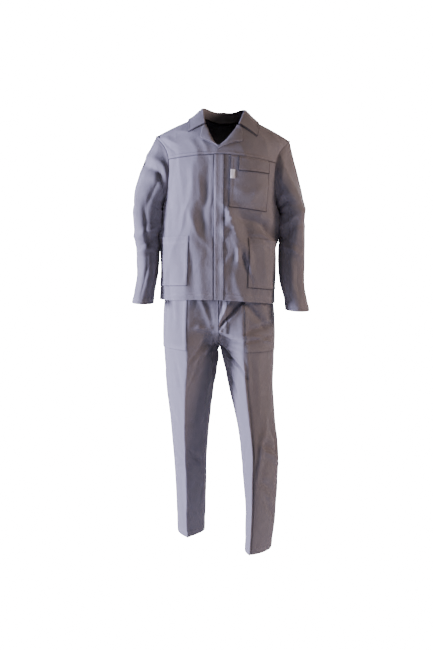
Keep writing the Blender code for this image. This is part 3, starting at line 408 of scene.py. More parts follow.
LEFT_SLEEVE_CREASES = folds(
    (190, -150, 70, -215, 12, -5.5, 5),
    (50, -80, 54, -400, 38, 11, -6, 1, 0, 0.38, 0),
    (132, -90, 136, -360, 45, -12, 0, 0.3, 0, 0.38, 0),
    (200, -225, 200, -305, 34, 9, 0, 0.2, 0, 0.2, 0),
    (185, -115, 80, -175, 11, 4.2, -5, 0.5),
    (130, -200, 140, -300, 14, -4.5, 4),
    (75, -180, 80, -310, 14, 3.4, 5),
    (10, -225, 190, -290, 11, 5.4, -8, 0.6, 0.4),
    (30, -265, 185, -320, 11, -4.6, -6, 0.4),
    (180, -330, 60, -370, 11, 3.6, 6, 0.5),
    (150, -330, 130, -470, 13, 4.2, -4, 0.7, 0.3),
    (185, -360, 180, -450, 11, -3),
    (85, -380, 80, -500, 15, -3, 4),
    (30, -360, 45, -520, 16, 2.8, -4),
    (-130, -200, 0, -250, 14, -4.2, 6),
    (-50, -270, -170, -330, 13, 4.4, 6, 0.5),
    (-40, -330, -170, -390, 12, -4, 7),
    (-60, -390, -180, -450, 13, 3, 5),
    (-110, -440, -100, -520, 15, 2),
    (-140, -140, -50, -240, 14, 3.6, -5),
    (20, -80, 90, -140, 13, 2.2, 4),
    (-120, -90, -20, -140, 14, 2.2, 4),
)
SLEEVE_ROUND = 0.065
SLEEVE_FOLDS = {
    side: FoldField(creases, seed=seed, period=2 * math.pi * SLEEVE_ROUND, depth=1.1)
    for side, creases, seed in ((Side.RIGHT, RIGHT_SLEEVE_CREASES, 23), (Side.LEFT, LEFT_SLEEVE_CREASES, 37))
}

RIGHT_LEG_PRESSED = folds(
    (157, -430, 157, -1300, 60, 17, 0, 1, 0, 0.12, 0),
    (250, -560, 250, -1300, 60, -10, 0, 0.4, 0, 0.1, 0),
    (-157, -600, -157, -1300, 30, 6, 0, 1, 0, 0.1, 0),
)
RIGHT_LEG_CREASES = folds(
    (240, -612, 176, -700, 9, -5, -6, 0.5, 0.3),
    (262, -628, 190, -700, 7, 4, -3),
    (222, -650, 180, -790, 8, -4, -5, 0.5, -0.3),
    (100, -690, 140, -800, 9, -1.6, 4, 0.5),
    (190, -605, 262, -590, 10, 5.6, -4),
    (204, -500, 262, -598, 10, 2.8, -4),
    (270, -645, 296, -780, 12, -4.6, 4),
    (250, -740, 250, -900, 16, 3, -4),
    (55, -540, 48, -640, 14, -2.6, 3),
    (100, -470, 110, -590, 13, 2.4, -3),
    (60, -980, 132, -1020, 10, -2.6, 4, 0.5),
    (60, -1035, 134, -1026, 6, 1.8, 0, 0.5),
    (190, -985, 270, -1030, 13, -2, 4),
    (30, -800, 90, -900, 16, -2.4, 4),
    (100, -1080, 120, -1220, 16, -1.8, 3),
    (-300, -640, -180, -700, 14, 6, 10),
    (-295, -670, -150, -760, 13, -5.2, 10, 0.5),
    (-280, -720, -160, -850, 14, 4, 8),
    (-80, -560, -100, -760, 20, -4, 6),
    (-210, -970, -80, -940, 14, 5.2, -6, 0.5),
    (-220, -935, -100, -900, 12, -3.8, -6, 0.5),
    (-220, -1000, -90, -1000, 12, -3.4, -5),
    (-90, -1080, -80, -1240, 18, -2.4),
)
LEFT_LEG_PRESSED = folds(
    (162, -560, 184, -1300, 50, 16, 0, 1, 0, 0.12, 0),
    (157, -760, 157, -1300, 20, -8.5, 0, 1, 0, 0.2, 0),
    (-157, -600, -157, -1300, 30, 6, 0, 1, 0, 0.1, 0),
)
LEFT_LEG_CREASES = folds(
    (298, -592, 160, -515, 8.5, -7.8, -3, 0.6, -0.4, 0.22),
    (290, -575, 205, -510, 11, 5.2, 2, 0.7, 0, 0.25),
    (296, -612, 170, -637, 8, -6.4, -4, 0.5),
    (296, -628, 185, -668, 8, 5, -3),
    (292, -636, 168, -730, 7.5, -7.2, -4, 0.65, 0.3),
    (286, -652, 196, -718, 6, 4.8, -3, 0.5),
    (280, -665, 210, -722, 6, -4.2, -2, 0.6),
    (262, -705, 226, -795, 11, -3.4, -4),
    (160, -512, 92, -580, 10, -5.6, 4, 0.5, 0.3),
    (100, -500, 72, -575, 13, 4.5, -4),
    (148, -607, 55, -585, 8, -6, 5, 0.5),
    (152, -622, 60, -632, 7, 4.8, 4),
    (150, -640, 62, -618, 6, -4, 3, 0.6),
    (142, -663, 143, -765, 9, 2.4, 2, 0.5),
    (160, -680, 142, -880, 12, -1.6, -3, 0.7, -0.4),
    (98, -672, 96, -870, 16, 3, 4),
    (77, -885, 122, -1040, 15, 5, -4, 0.3, -0.3),
    (50, -885, 6, -975, 13, -6, 4, 0.5),
    (90, -940, 5, -985, 12, -6.6, 6, 0.5),
    (80, -965, 0, -1015, 10, 5.4, 5),
    (90, -1060, 20, -1100, 13, -4.6, 5, 0.5),
    (70, -1110, 10, -1165, 12, -4.2, 4, 0.5),
    (200, -930, 250, -1010, 14, -2.4, 4),
    (-300, -640, -180, -710, 14, 6, 10),
    (-295, -675, -150, -770, 13, -5.2, 10, 0.5),
    (-270, -740, -150, -860, 14, 3.8, 8),
    (-80, -570, -100, -760, 20, -4, 6),
    (-230, -960, -60, -930, 14, 6.2, -6, 0.5),
    (-230, -925, -80, -890, 12, -4.4, -6, 0.5),
    (-230, -995, -70, -985, 12, -4.2, -5, 0.5),
    (-210, -1030, -80, -1030, 12, 3.4, -4),
    (-100, -1100, -90, -1240, 18, -2.2),
)
LEG_ROUND = 0.1
LEG_FOLDS = {
    side: FoldField(creases, seed, pressed, sway=-0.0015, period=2 * math.pi * LEG_ROUND)
    for side, creases, seed, pressed in (
        (Side.RIGHT, RIGHT_LEG_CREASES, 41, RIGHT_LEG_PRESSED),
        (Side.LEFT, LEFT_LEG_CREASES, 53, LEFT_LEG_PRESSED),
    )
}


# ========== forms


@dataclass(frozen=True)
class JacketRing:
    """A level section of the jacket's body below the underarm."""

    z: float
    half_width: float
    front_depth: float
    back_depth: float


@dataclass(frozen=True)
class JacketBody:
    """The surface of the jacket's body, worked out from its sizes.

    angle is 0 at the front and a quarter turn at the wearer's left. rise is 0 at the hem, 1 at the
    underarm and 2 on the shoulder line.
    """

    rings: tuple[JacketRing, ...] = records(
        JacketRing,
        (-0.520, 0.181, 0.134, 0.128),
        (-0.440, 0.180, 0.134, 0.122),
        (-0.360, 0.178, 0.130, 0.112),
        (-0.280, 0.174, 0.126, 0.112),
        (-0.200, 0.171, 0.123, 0.119),
    )
    hem_z: float = -0.507
    hem_side_drop: float = 0.012
    underarm_z: float = -0.2
    underarm_side_drop: float = 0.018
    body_power: float = 2.45
    roll_power: float = 2.4
    shoulder_half: float = 0.207
    shoulder_y: float = 0.004
    shoulder_top_z: float = 0.066
    shoulder_fall: float = 0.082
    shoulder_fall_power: float = 1.5
    side_lift: float = 0.74
    yoke_rise: float = 1.292
    v_rise: float = 1.377
    neck_half: float = 0.078
    back_neck_rise: float = 1.65
    back_neck_power: float = 2.5
    edge_x: Three = (0.01, 0.024, 0.014)
    armhole_cut: tuple[float, float] = (math.radians(24), math.radians(20))
    armhole_low_share: float = 0.25
    girth: float = 0.15
    upper_length: float = 0.33
    folds: FoldField = JACKET_FOLDS

    def half_width(self, rise: Array) -> Array:
        """Half the jacket's width at a height."""
        roll = np.cos(np.clip(rise - 1, 0, 1) * math.pi / 2) ** (4 / self.roll_power)
        body = read_rings(self.rings, self.cloth_v(np.minimum(rise, 1)))[0]
        return self.shoulder_half + (body - self.shoulder_half) * roll

    def place(self, angle: Array, rise: Array) -> Array:
        """Points of the body before its folds, one for each angle and rise."""
        low = np.minimum(rise, 1)
        share = signed_power(np.sin(angle), 2 / self.body_power)
        up = np.clip(rise - 1, 0, 1)
        over = (up + self.side_lift * share**2 * up * (1 - up) ** 2) * math.pi / 2
        roll_in = np.abs(np.cos(over)) ** (2 / self.roll_power)
        roll_up = np.abs(np.sin(over)) ** (2 / self.roll_power)
        front = signed_power(np.cos(angle), 2 / self.body_power)
        ring_z = self.cloth_v(low)
        _, front_depth, back_depth = read_rings(self.rings, ring_z)
        depth = np.where(front > 0, front_depth, back_depth)
        x = share * self.half_width(rise)
        y = self.shoulder_y + (-depth * front - self.shoulder_y) * roll_in
        side_drop = self.hem_side_drop + (self.underarm_side_drop - self.hem_side_drop) * low
        low_z = ring_z - side_drop * share**2
        top_z = self.shoulder_top_z - self.shoulder_fall * np.abs(share) ** self.shoulder_fall_power
        return np.stack([x, y, low_z + (top_z - low_z) * roll_up], axis=-1)

    def normals(self, angle: Array, rise: Array) -> Array:
        """Outward normals of the body."""
        rise = np.minimum(rise, 2 - STEP)
        around = self.place(angle + STEP, rise) - self.place(angle - STEP, rise)
        return unit(np.cross(around, self.place(angle, rise + STEP) - self.place(angle, rise - STEP)))

    def angle_at(self, x: Array, rise: Array) -> Array:
        """The angle of the place on the front that lies at x."""
        share = np.clip(x / self.half_width(rise), -1, 1)
        return np.arcsin(signed_power(share, self.body_power / 2))

    def armhole_share(self, rise: Array) -> Array:
        """How deep the armhole cuts in at a height, from 0 to 1."""
        up = np.clip(rise - 1, 0, 1)
        low = np.sqrt(np.clip(1 - (1 - np.minimum(up / self.armhole_low_share, 1)) ** 2, 0, 1))
        turn = (up - self.armhole_low_share) / (1 - self.armhole_low_share)
        return np.where(up < self.armhole_low_share, low, 0.5 * (1 + np.cos(math.pi * turn)))

    def side_angle(self, rise: Array, back: bool) -> Array:
        """The angle of the side seam, then of the armhole."""
        cut = self.armhole_cut[1] if back else -self.armhole_cut[0]
        return math.pi / 2 + cut * self.armhole_share(rise)

    def front_edge(self, side: Side, rise: Array) -> Array:
        """How far the front's inner edge is from the centre plane, the side's own way."""
        past = np.interp(rise, (0, self.yoke_rise, self.v_rise), self.edge_x)
        meeting = -side.value * past
        up = np.clip((rise - self.v_rise) / (2 - self.v_rise), 0, 1)
        return meeting + (self.neck_half - meeting) * up**0.5

    def neck_rise(self, x: Array) -> Array:
        """How high the back reaches under the collar."""
        inside = 1 - (np.abs(x) / self.neck_half) ** self.back_neck_power
        return 2 - (2 - self.back_neck_rise) * inside

    def neck_share(self) -> float:
        """How far along the back's top edge, from the armhole to the centre, the neck starts."""
        return 1 - float(self.angle_at(np.array(self.neck_half), np.array(2.0))) * 2 / math.pi

    def back_top_x(self, share: Array) -> Array:
        """How far out the back's top edge is at a share of its way in, within the neck."""
        x = np.abs(np.cos(share * math.pi / 2)) ** (2 / self.body_power)
        return np.minimum(x * self.shoulder_half, self.neck_half)

    def cloth_v(self, rise: Array) -> Array:
        """How high a place is in the cloth's own metres."""
        return np.interp(rise, (0, 1, 2), self.levels)

    def rise_at(self, v: Array) -> Array:
        """The rise of a height in the cloth's own metres."""
        return np.interp(v, self.levels, (0, 1, 2))

    @property
    def levels(self) -> Three:
        """The hem, the underarm and the shoulder line in the cloth's own metres."""
        return self.hem_z, self.underarm_z, self.underarm_z + self.upper_length

    def calm(self, angle: Array, rise: Array) -> Array:
        """How free the cloth is to fold: 0 at the armhole, the shoulder seam and the neck."""
        back = np.abs(angle) > math.pi / 2
        seam = np.where(back, self.side_angle(rise, True), self.side_angle(rise, False))
        off = np.abs(np.abs(angle) - seam) * self.girth
        armhole = 1 - ramp(0.92, 1.02, rise) * (1 - ramp(0.0, 0.03, off))
        return armhole * (1 - ramp(1.86, 2.0, rise))

    def push(self, angle: Array, rise: Array) -> Array:
        """How far the folds move the body's cloth out."""
        return self.folds.push(angle * self.girth, self.cloth_v(rise)) * self.calm(angle, rise)


@dataclass(frozen=True)
class SleeveRing:
    """A level section of a sleeve; outer and inner are its edges seen from the front."""

    z: float
    outer: float
    inner: float
    y: float
    half_depth: float


SLEEVE_RINGS = {
    Side.RIGHT: records(
        SleeveRing,
        (-0.532, 0.267, 0.200, -0.035, 0.058),
        (-0.500, 0.262, 0.196, -0.028, 0.060),
        (-0.450, 0.255, 0.188, -0.018, 0.063),
        (-0.390, 0.259, 0.185, -0.006, 0.066),
        (-0.320, 0.269, 0.184, 0.004, 0.070),
        (-0.250, 0.276, 0.179, 0.006, 0.075),
    ),
    Side.LEFT: records(
        SleeveRing,
        (-0.538, 0.287, 0.213, -0.035, 0.058),
        (-0.510, 0.282, 0.209, -0.030, 0.060),
        (-0.450, 0.271, 0.193, -0.018, 0.063),
        (-0.390, 0.269, 0.186, -0.006, 0.066),
        (-0.320, 0.268, 0.184, 0.004, 0.070),
        (-0.250, 0.265, 0.179, 0.006, 0.075),
    ),
}


CAP_TOP_SLOPE = {Side.RIGHT: (0.44, -0.9), Side.LEFT: (0.24, -0.97)}


@dataclass(frozen=True)
class SleeveForm:
    """The surface of a sleeve, from the armhole to the cuff.

    turning says how far inside the armhole and how far below the body the sleeve's first rows lie.
    """

    side: Side
    body: JacketBody
    cap_low_slope: tuple[float, float] = (0.6, -0.8)
    cap_spread: float = 0.45
    cap_pull: float = 0.95
    cap_length: float = 0.17
    look_down: float = 0.01
    turning: tuple[tuple[float, float], ...] = ((0.01, 0.003), (0.004, 0.0022))

    def ring(self, turns: Array, z: float) -> Array:
        """A level section. turns are 0 outside and a quarter turn at the front."""
        outer, inner, y, half_depth = read_rings(SLEEVE_RINGS[self.side], z)
        x = (outer + inner) / 2 + (outer - inner) / 2 * np.cos(turns)
        y = y - half_depth * np.sin(turns)
        return np.stack([self.side.value * x, y, np.full(x.shape, z)], axis=-1)

    def armhole(self, rises: Array) -> list[Array]:
        """The armhole as a loop down the front and up the back: its points, the ways in and its normals."""
        halves = []
        for back, way in ((False, -1), (True, 1)):
            angle = self.side.value * self.body.side_angle(rises, back)
            edge = self.body.place(angle, rises)
            inward = self.body.place(angle + self.side.value * way * 0.01, rises) - edge
            halves.append((edge, unit(inward), self.body.normals(angle, rises)))
        return [np.concatenate([front[::-1], back[1:-1]]) for front, back in zip(*halves)]

    def grid(self, around: int, step: float) -> tuple[Array, Array, Array]:
        """The sleeve's points, with its cloth's u and v.

        Args:
            around: Columns in each half of the armhole.
            step: The distance between rows.

        Returns:
            Points in rows from the armhole to the cuff, and the u and v of each.
        """
        rises = 1 + np.linspace(0, 1, around) ** 0.8
        loop, inward, facing = self.armhole(rises)
        run = reach(np.concatenate([loop, loop[:1]]), 0)
        turns = np.interp(run[:-1], run[[0, around - 1, -1]], (0, math.pi, 2 * math.pi))
        rings = SLEEVE_RINGS[self.side]
        top_z, cuff_z = rings[-1].z, rings[0].z
        first = self.ring(turns, top_z)
        outside = (1 + np.cos(turns)) / 2
        slope = CAP_TOP_SLOPE[self.side]
        top = np.array([self.side.value * slope[0], 0, slope[1]])
        low = np.array([self.side.value * self.cap_low_slope[0], 0, self.cap_low_slope[1]])
        leave = low + (top - low) * outside[:, None]
        leave[:, 1] -= self.cap_spread * np.sin(turns)
        pull = np.linalg.norm(first - loop, axis=1, keepdims=True) * self.cap_pull
        leave = unit(leave) * pull
        arrive = unit(self.ring(turns, top_z - self.look_down) - first) * pull
        rows = [loop + inward * inside - facing * below for inside, below in self.turning]
        heights = [top_z + self.cap_length + inside for inside, _ in self.turning]
        for t in shares(self.cap_length, step, high_edge=False)[:-1]:
            rows.append(spline(t, loop, first, leave, arrive))
            heights.append(top_z + self.cap_length * (1 - t))
        for z in top_z + (cuff_z - top_z) * shares(top_z - cuff_z, step, low_edge=False):
            rows.append(self.ring(turns, z))
            heights.append(z)
        turned = np.where(turns > math.pi, turns - 2 * math.pi, turns)
        points = np.array(rows)
        u = np.broadcast_to(turned * SLEEVE_ROUND, points.shape[:2])
        v = np.broadcast_to(np.array(heights)[:, None], points.shape[:2])
        return points, u, v


@dataclass(frozen=True)
class HipRing:
    """A level section of the trousers above the crotch."""

    z: float
    half_width: float
    front_depth: float
    back_depth: float
    centre_x: float


@dataclass(frozen=True)
class LegRing:
    """A level section of a leg; turn is in degrees, and crease is 1 round and 2 sharp-edged."""

    z: float
    centre_x: float
    centre_y: float
    half_width: float
    half_depth: float
    crease: float
    turn: float


HIP_RINGS = records(
    HipRing,
    (-0.660, 0.177, 0.112, 0.125, 0.010),
    (-0.600, 0.174, 0.112, 0.124, 0.008),
    (-0.540, 0.170, 0.112, 0.115, 0.006),
    (-0.480, 0.163, 0.108, 0.104, 0.003),
    (-0.395, 0.152, 0.104, 0.096, 0.000),
    (-0.350, 0.150, 0.104, 0.096, 0.000),
)
LEG_RINGS = {
    Side.RIGHT: records(
        LegRing,
        (-1.268, -0.059, 0.020, 0.042, 0.088, 1.55, 6),
        (-1.150, -0.063, 0.018, 0.047, 0.092, 1.55, 7),
        (-1.010, -0.070, 0.010, 0.053, 0.096, 1.50, 7),
        (-0.900, -0.074, 0.005, 0.062, 0.100, 1.45, 8),
        (-0.800, -0.077, 0.002, 0.073, 0.108, 1.35, 7),
        (-0.710, -0.075, 0.002, 0.083, 0.114, 1.25, 6),
        (-0.652, -0.078, 0.002, 0.086, 0.116, 1.10, 5),
    ),
    Side.LEFT: records(
        LegRing,
        (-1.268, 0.153, -0.150, 0.036, 0.086, 1.50, 18),
        (-1.150, 0.157, -0.135, 0.043, 0.090, 1.50, 18),
        (-1.050, 0.153, -0.115, 0.052, 0.094, 1.50, 16),
        (-0.970, 0.148, -0.090, 0.057, 0.098, 1.50, 13),
        (-0.900, 0.135, -0.062, 0.059, 0.100, 1.45, 10),
        (-0.800, 0.118, -0.028, 0.068, 0.108, 1.35, 8),
        (-0.710, 0.106, -0.006, 0.079, 0.114, 1.25, 6),
        (-0.652, 0.098, 0.002, 0.087, 0.116, 1.10, 4),
    ),
}


HIP_SPREAD = {Side.RIGHT: 1.55, Side.LEFT: 2.0}


@dataclass(frozen=True)
class LegForm:
    """The surface of one side of the trousers. share runs from the outer to the inner seam."""

    side: Side
    waist_z: float = -0.395
    band_top_z: float = -0.358
    crotch_z: float = -0.652
    rise_height: float = 0.085
    hem_z: float = -1.268
    hip_power: float = 2.4
    centre_ease: float = 2.0
    centre_flatten: float = 5.0

    def cloth_u(self, face: Face, share: Array) -> Array:
        """How far round the leg a place is in the cloth's own metres."""
        return -face.value * math.pi * LEG_ROUND * share

    def up(self, z: Array) -> Array:
        """How far up from the crotch a height is, from 0 to 1."""
        return np.clip((z - self.crotch_z) / self.rise_height, 0, 1)

    def rough_place(self, face: Face, share: Array, z: Array) -> Array:
        """Points of the surface before the centre seam is drawn to its line."""
        sign, turned = self.side.value, share * math.pi
        leg_x, leg_y, half_width, half_depth, crease, turn = read_rings(LEG_RINGS[self.side], z)
        across = signed_power(np.cos(turned), crease) * half_width * sign
        depth, turn = half_depth * np.sin(turned) * face.value, np.radians(turn)
        leg_x = leg_x + across * np.cos(turn) + depth * np.sin(turn)
        leg_y = leg_y + depth * np.cos(turn) - across * np.sin(turn)
        hip_turn = math.pi / 2 * (1 - np.clip(1 - share, 0, 1) ** HIP_SPREAD[self.side])
        half_width, front_depth, back_depth, hip_x = read_rings(HIP_RINGS, z)
        hip_depth = back_depth if face is Face.BACK else front_depth
        hip_x = hip_x + sign * half_width * np.abs(np.cos(hip_turn)) ** (2 / self.hip_power)
        hip_y = hip_depth * np.abs(np.sin(hip_turn)) ** (2 / self.hip_power) * face.value
        blend = 1 - (1 - self.up(z)) ** (2 + self.centre_ease * share**4)
        x = leg_x + (hip_x - leg_x) * blend
        y = leg_y + (hip_y - leg_y) * blend
        return np.stack([x, y, z + 0 * x], axis=-1)

    def place(self, face: Face, share: Array, z: Array) -> Array:
        """Points of the surface, before its folds."""
        points = self.rough_place(face, share, z)
        end = self.rough_place(face, np.ones_like(share), z)[..., 0]
        above = np.where(z >= self.crotch_z - STEP, 1.0, 0.0)
        points[..., 0] += (read_rings(HIP_RINGS, z)[-1] - end) * share**8 * above
        pressed = LEG_FOLDS[self.side].press(self.cloth_u(face, share), z)
        points[..., 1] += pressed * (1 - share**10) * face.value
        return points

    def normals(self, face: Face, share: Array, z: Array) -> Array:
        """Outward normals of the surface."""
        around = self.place(face, np.clip(share + STEP, 0, 1), z)
        around = around - self.place(face, np.clip(share - STEP, 0, 1), z)
        along = self.place(face, share, z + STEP / 2) - self.place(face, share, z - STEP / 2)
        jump = np.abs(z - self.crotch_z) < 2 * STEP
        along = np.where(jump[..., None], np.array([0.0, 0.0, 1.0]), along)
        normals = unit(np.cross(around, along)) * self.side.value * face.value
        flat = share**24 * (1 - (1 - self.up(z)) ** self.centre_flatten)
        normals[..., 0] *= 1 - flat
        return unit(normals)

    def push(self, face: Face, share: Array, z: Array) -> Array:
        """How far the folds move the cloth out."""
        free = 1 - share**18 * ramp(self.crotch_z - 0.03, self.crotch_z + 0.01, z)
        free = free * (1 - ramp(self.waist_z - 0.03, self.waist_z, z))
        return LEG_FOLDS[self.side].push(self.cloth_u(face, share), z + 0 * share) * free


# ========== finishes


class Signal:
    """A shader value on which Python's operators work."""

    def __init__(self, bench: "Bench", socket: bpy.types.NodeSocket) -> None:
        """Holds the bench and the socket."""
        self.bench = bench
        self.socket = socket

    def __add__(self, other: "Signal | float") -> "Signal":
        """Sum."""
        return self.bench.maths("ADD", self, other)

    def __sub__(self, other: "Signal | float") -> "Signal":
        """Difference."""
        return self.bench.maths("SUBTRACT", self, other)

    def __rsub__(self, other: float) -> "Signal":
        """Difference from a number."""
        return self.bench.maths("SUBTRACT", other, self)

    def __mul__(self, other: "Signal | float") -> "Signal":
        """Product."""
        return self.bench.maths("MULTIPLY", self, other)

    __radd__ = __add__
    __rmul__ = __mul__


def opaque(colour: object) -> object:
    """A colour with its alpha; a socket stays as it is."""
    return (*colour, 1.0) if isinstance(colour, (tuple, list)) else colour


def shade(colour: tuple[float, ...], share: float) -> list[float]:
    """A colour made lighter or darker."""
    return [share * part for part in colour]


class Bench:
    """Builds the nodes of a material or a world."""

    def __init__(self, owner: bpy.types.Material | bpy.types.World) -> None:
        """Starts with an empty tree."""
        owner.use_nodes = True
        self.owner = owner
        self.tree = owner.node_tree
        self.tree.nodes.clear()

    def node(self, kind: str, settings: dict | None = None, inputs: dict | None = None) -> bpy.types.Node:
        """Adds a node.

        Args:
            kind: The node's type.
            settings: Its own settings.
            inputs: Values or links for its sockets, by name or number.

        Returns:
            The node.
        """
        made = self.tree.nodes.new(kind)
        for key, value in (settings or {}).items():
            setattr(made, key, value)
        for key, value in (inputs or {}).items():
            value = getattr(value, "socket", value)
            if isinstance(value, bpy.types.NodeSocket):
                self.tree.links.new(value, made.inputs[key])
            else:
                made.inputs[key].default_value = value
        return made

    def maths(self, operation: str, *values: "Signal | float") -> Signal:
        """A Math node's result."""
        made = self.node("ShaderNodeMath", {"operation": operation}, dict(enumerate(values)))
        return Signal(self, made.outputs[0])

    def solid(self) -> bpy.types.NodeSocket:
        """The object's coordinates."""
        return self.node("ShaderNodeTexCoord").outputs["Object"]

    def cloth(self) -> tuple[bpy.types.NodeSocket, Signal, Signal]:
        """The cloth's own coordinates, then its u and its v."""
        flat = self.node("ShaderNodeUVMap", {"uv_map": "cloth"}).outputs[0]
        parts = self.node("ShaderNodeSeparateXYZ", {}, {0: flat})
        return flat, Signal(self, parts.outputs[0]), Signal(self, parts.outputs[1])

    def wave(self, along: Signal, pitch: float) -> Signal:
        """A wave from 0 to 1 that repeats after a pitch."""
        return self.maths("SINE", along * (2 * math.pi / pitch)) * 0.5 + 0.5

    def mix(self, share: "Signal | float", first: object, second: object) -> bpy.types.NodeSocket:
        """A blend of two colours."""
        inputs = {0: share, 6: opaque(first), 7: opaque(second)}
        return self.node("ShaderNodeMix", {"data_type": "RGBA", "clamp_result": True}, inputs).outputs[2]

    def noise(
        self, vector: object, scale: float, detail: float = 2.0, rough: float = 0.5, warp: float = 0.0
    ) -> Signal:
        """Noise from 0 to 1 over a vector."""
        inputs = {"Vector": vector, "Scale": scale, "Detail": detail, "Roughness": rough, "Distortion": warp}
        return Signal(self, self.node("ShaderNodeTexNoise", {}, inputs).outputs[0])

    def attribute(self, name: str) -> Signal:
        """A number that the mesh carries."""
        return Signal(self, self.node("ShaderNodeAttribute", {"attribute_name": name}).outputs[2])

    def stretched(self, vector: object, scale: Three) -> bpy.types.NodeSocket:
        """A vector scaled along its axes."""
        return self.node("ShaderNodeMapping", {}, {"Vector": vector, "Scale": scale}).outputs[0]

    def bump(self, height: Signal, strength: float = 1.0, distance: float = 0.0001) -> bpy.types.NodeSocket:
        """A normal that follows a height."""
        inputs = {"Strength": strength, "Distance": distance, "Height": height}
        return self.node("ShaderNodeBump", {}, inputs).outputs[0]

    def finish(
        self, base: object, roughness: Signal, normal: object, more: dict | None = None
    ) -> bpy.types.Material:
        """Adds the surface shader and the output, and returns the material."""
        sockets = {"Base Color": base, "Roughness": roughness, "Normal": normal, **(more or {})}
        shader = self.node("ShaderNodeBsdfPrincipled", {}, sockets)
        self.node("ShaderNodeOutputMaterial", {}, {0: shader.outputs[0]})
        return self.owner

    def for_camera(self, seen: bpy.types.Node, others: bpy.types.Node, output: str) -> None:
        """Ends the tree in one shader for the camera and another for the rest of the light."""
        camera = self.node("ShaderNodeLightPath").outputs["Is Camera Ray"]
        both = self.node("ShaderNodeMixShader", {}, {0: camera, 1: others.outputs[0], 2: seen.outputs[0]})
        self.node(output, {}, {0: both.outputs[0]})


@dataclass(frozen=True)
class TwillFinish:
    """Grey polycotton twill, with its diagonal weave, slubs, small rumples, rubbed edges and painted shade
    along its seams.
    """

    name: str = "grey_twill_cloth"
    colour: Three = (0.15, 0.14, 0.16)
    light: Three = (0.205, 0.192, 0.214)
    # dark is the colour of the painted shade along seams, standing in for the shadow where pieces meet.
    dark: Three = (0.03, 0.028, 0.033)
    wale: float = 0.0011
    weave_depth: float = 0.0001
    rumple_depth: float = 0.0015
    pucker_depth: float = 0.0009
    roughness: float = 0.84
    sheen: float = 0.22

    def make(self) -> bpy.types.Material:
        """Builds the material."""
        bench = Bench(bpy.data.materials.new(self.name))
        (flat, u, v), solid = bench.cloth(), bench.solid()
        wale = bench.wave(u * 0.8 + v * 1.25, self.wale)
        cross = bench.wave(u * 1.9 - v * 0.7, self.wale)
        weave = wale * 0.7 + cross * 0.3
        slub = bench.noise(bench.stretched(flat, (1500.0, 110.0, 1.0)), 1.0)
        cloudy = bench.noise(solid, 7.0, 3.0, 0.55)
        blotch = bench.noise(solid, 38.0, 3.0, 0.6)
        near, groove = bench.attribute("near"), bench.attribute("groove")
        tone = cloudy * 0.3 + blotch * 0.16 + slub * 0.2 + weave * 0.22 + 0.06
        rubbed = near * bench.noise(solid, 160.0) * 0.45
        base = bench.mix(tone, self.colour, self.light)
        base = bench.mix(rubbed, base, shade(self.light, 1.35))
        # painted shade: darkens the cloth towards the dark colour along seams and patch edges, standing in
        # for the shadow cast there
        base = bench.mix(groove * 0.85, base, self.dark)
        rumple = bench.noise(bench.stretched(solid, (26.0, 26.0, 17.0)), 1.0, 4.0, 0.52, 0.6)
        pucker = bench.noise(bench.stretched(flat, (150.0, 150.0, 1.0)), 1.0, 1.0, 0.4, 0.3) * near
        height = rumple * self.rumple_depth + pucker * self.pucker_depth + weave * self.weave_depth
        more = {
            "Sheen Weight": self.sheen,
            "Sheen Roughness": 0.45,
            "Sheen Tint": (0.86, 0.86, 0.95, 1.0),
            "Specular IOR Level": 0.25,
        }
        roughness = slub * 0.1 + (self.roughness - 0.05)
        return bench.finish(base, roughness, bench.bump(height, distance=1.0), more)


@dataclass(frozen=True)
class ThreadFinish:
    """Sewing thread, a little lighter than the cloth."""

    name: str = "grey_thread"
    colour: Three = (0.235, 0.222, 0.245)

    def make(self) -> bpy.types.Material:
        """Builds the material."""
        bench = Bench(bpy.data.materials.new(self.name))
        solid = bench.solid()
        tone, twist = bench.noise(solid, 320.0), bench.noise(solid, 2600.0, 1.0)
        base = bench.mix(tone, self.colour, shade(self.colour, 0.62))
        return bench.finish(base, tone * 0.2 + 0.5, bench.bump(twist, 0.6))


@dataclass(frozen=True)
class TapeFinish:
    """White woven tape for the bare tab."""

    name: str = "white_tape"
    colour: Three = (0.8, 0.78, 0.76)
    soiled: Three = (0.52, 0.5, 0.48)
    rubbed: Three = (0.62, 0.6, 0.58)
    rib: float = 0.0007
    warp: float = 0.0005

    def make(self) -> bpy.types.Material:
        """Builds the material."""
        bench = Bench(bpy.data.materials.new(self.name))
        _, u, v = bench.cloth()
        weave = bench.wave(v, self.rib) * 0.6 + bench.wave(u, self.warp) * 0.4
        soil = bench.noise(bench.solid(), 260.0, 3.0)
        base = bench.mix(weave * 0.25 + soil * 0.35, self.colour, self.soiled)
        base = bench.mix(bench.attribute("near") * 0.35, base, self.rubbed)
        return bench.finish(base, soil * 0.2 + 0.6, bench.bump(weave))


@dataclass(frozen=True)
class ButtonFinish:
    """Moulded grey button plastic, clouded and scuffed."""

    name: str = "moulded_grey"
    colour: Three = (0.1, 0.095, 0.105)

    def make(self) -> bpy.types.Material:
        """Builds the material."""
        bench = Bench(bpy.data.materials.new(self.name))
        solid = bench.solid()
        cloud = bench.noise(solid, 210.0, 4.0, 0.6, 1.2)
        scuff = bench.noise(bench.stretched(solid, (900.0, 300.0, 900.0)), 1.0, 3.0)
        base = bench.mix(cloud, self.colour, shade(self.colour, 1.9))
        return bench.finish(base, scuff * 0.3 + 0.25, bench.bump(scuff, 0.5))


class Finishes:
    """The suit's four materials."""

    def __init__(self) -> None:
        """Makes the materials."""
        kinds = TwillFinish, ThreadFinish, TapeFinish, ButtonFinish
        self.twill, self.thread, self.tape, self.button = (kind().make() for kind in kinds)


# ========== cloth


SEAM_ROWS = (0.0016, 0.0068)
ROLLED_EDGE = 0.0004
STITCH_SINK = 0.00022


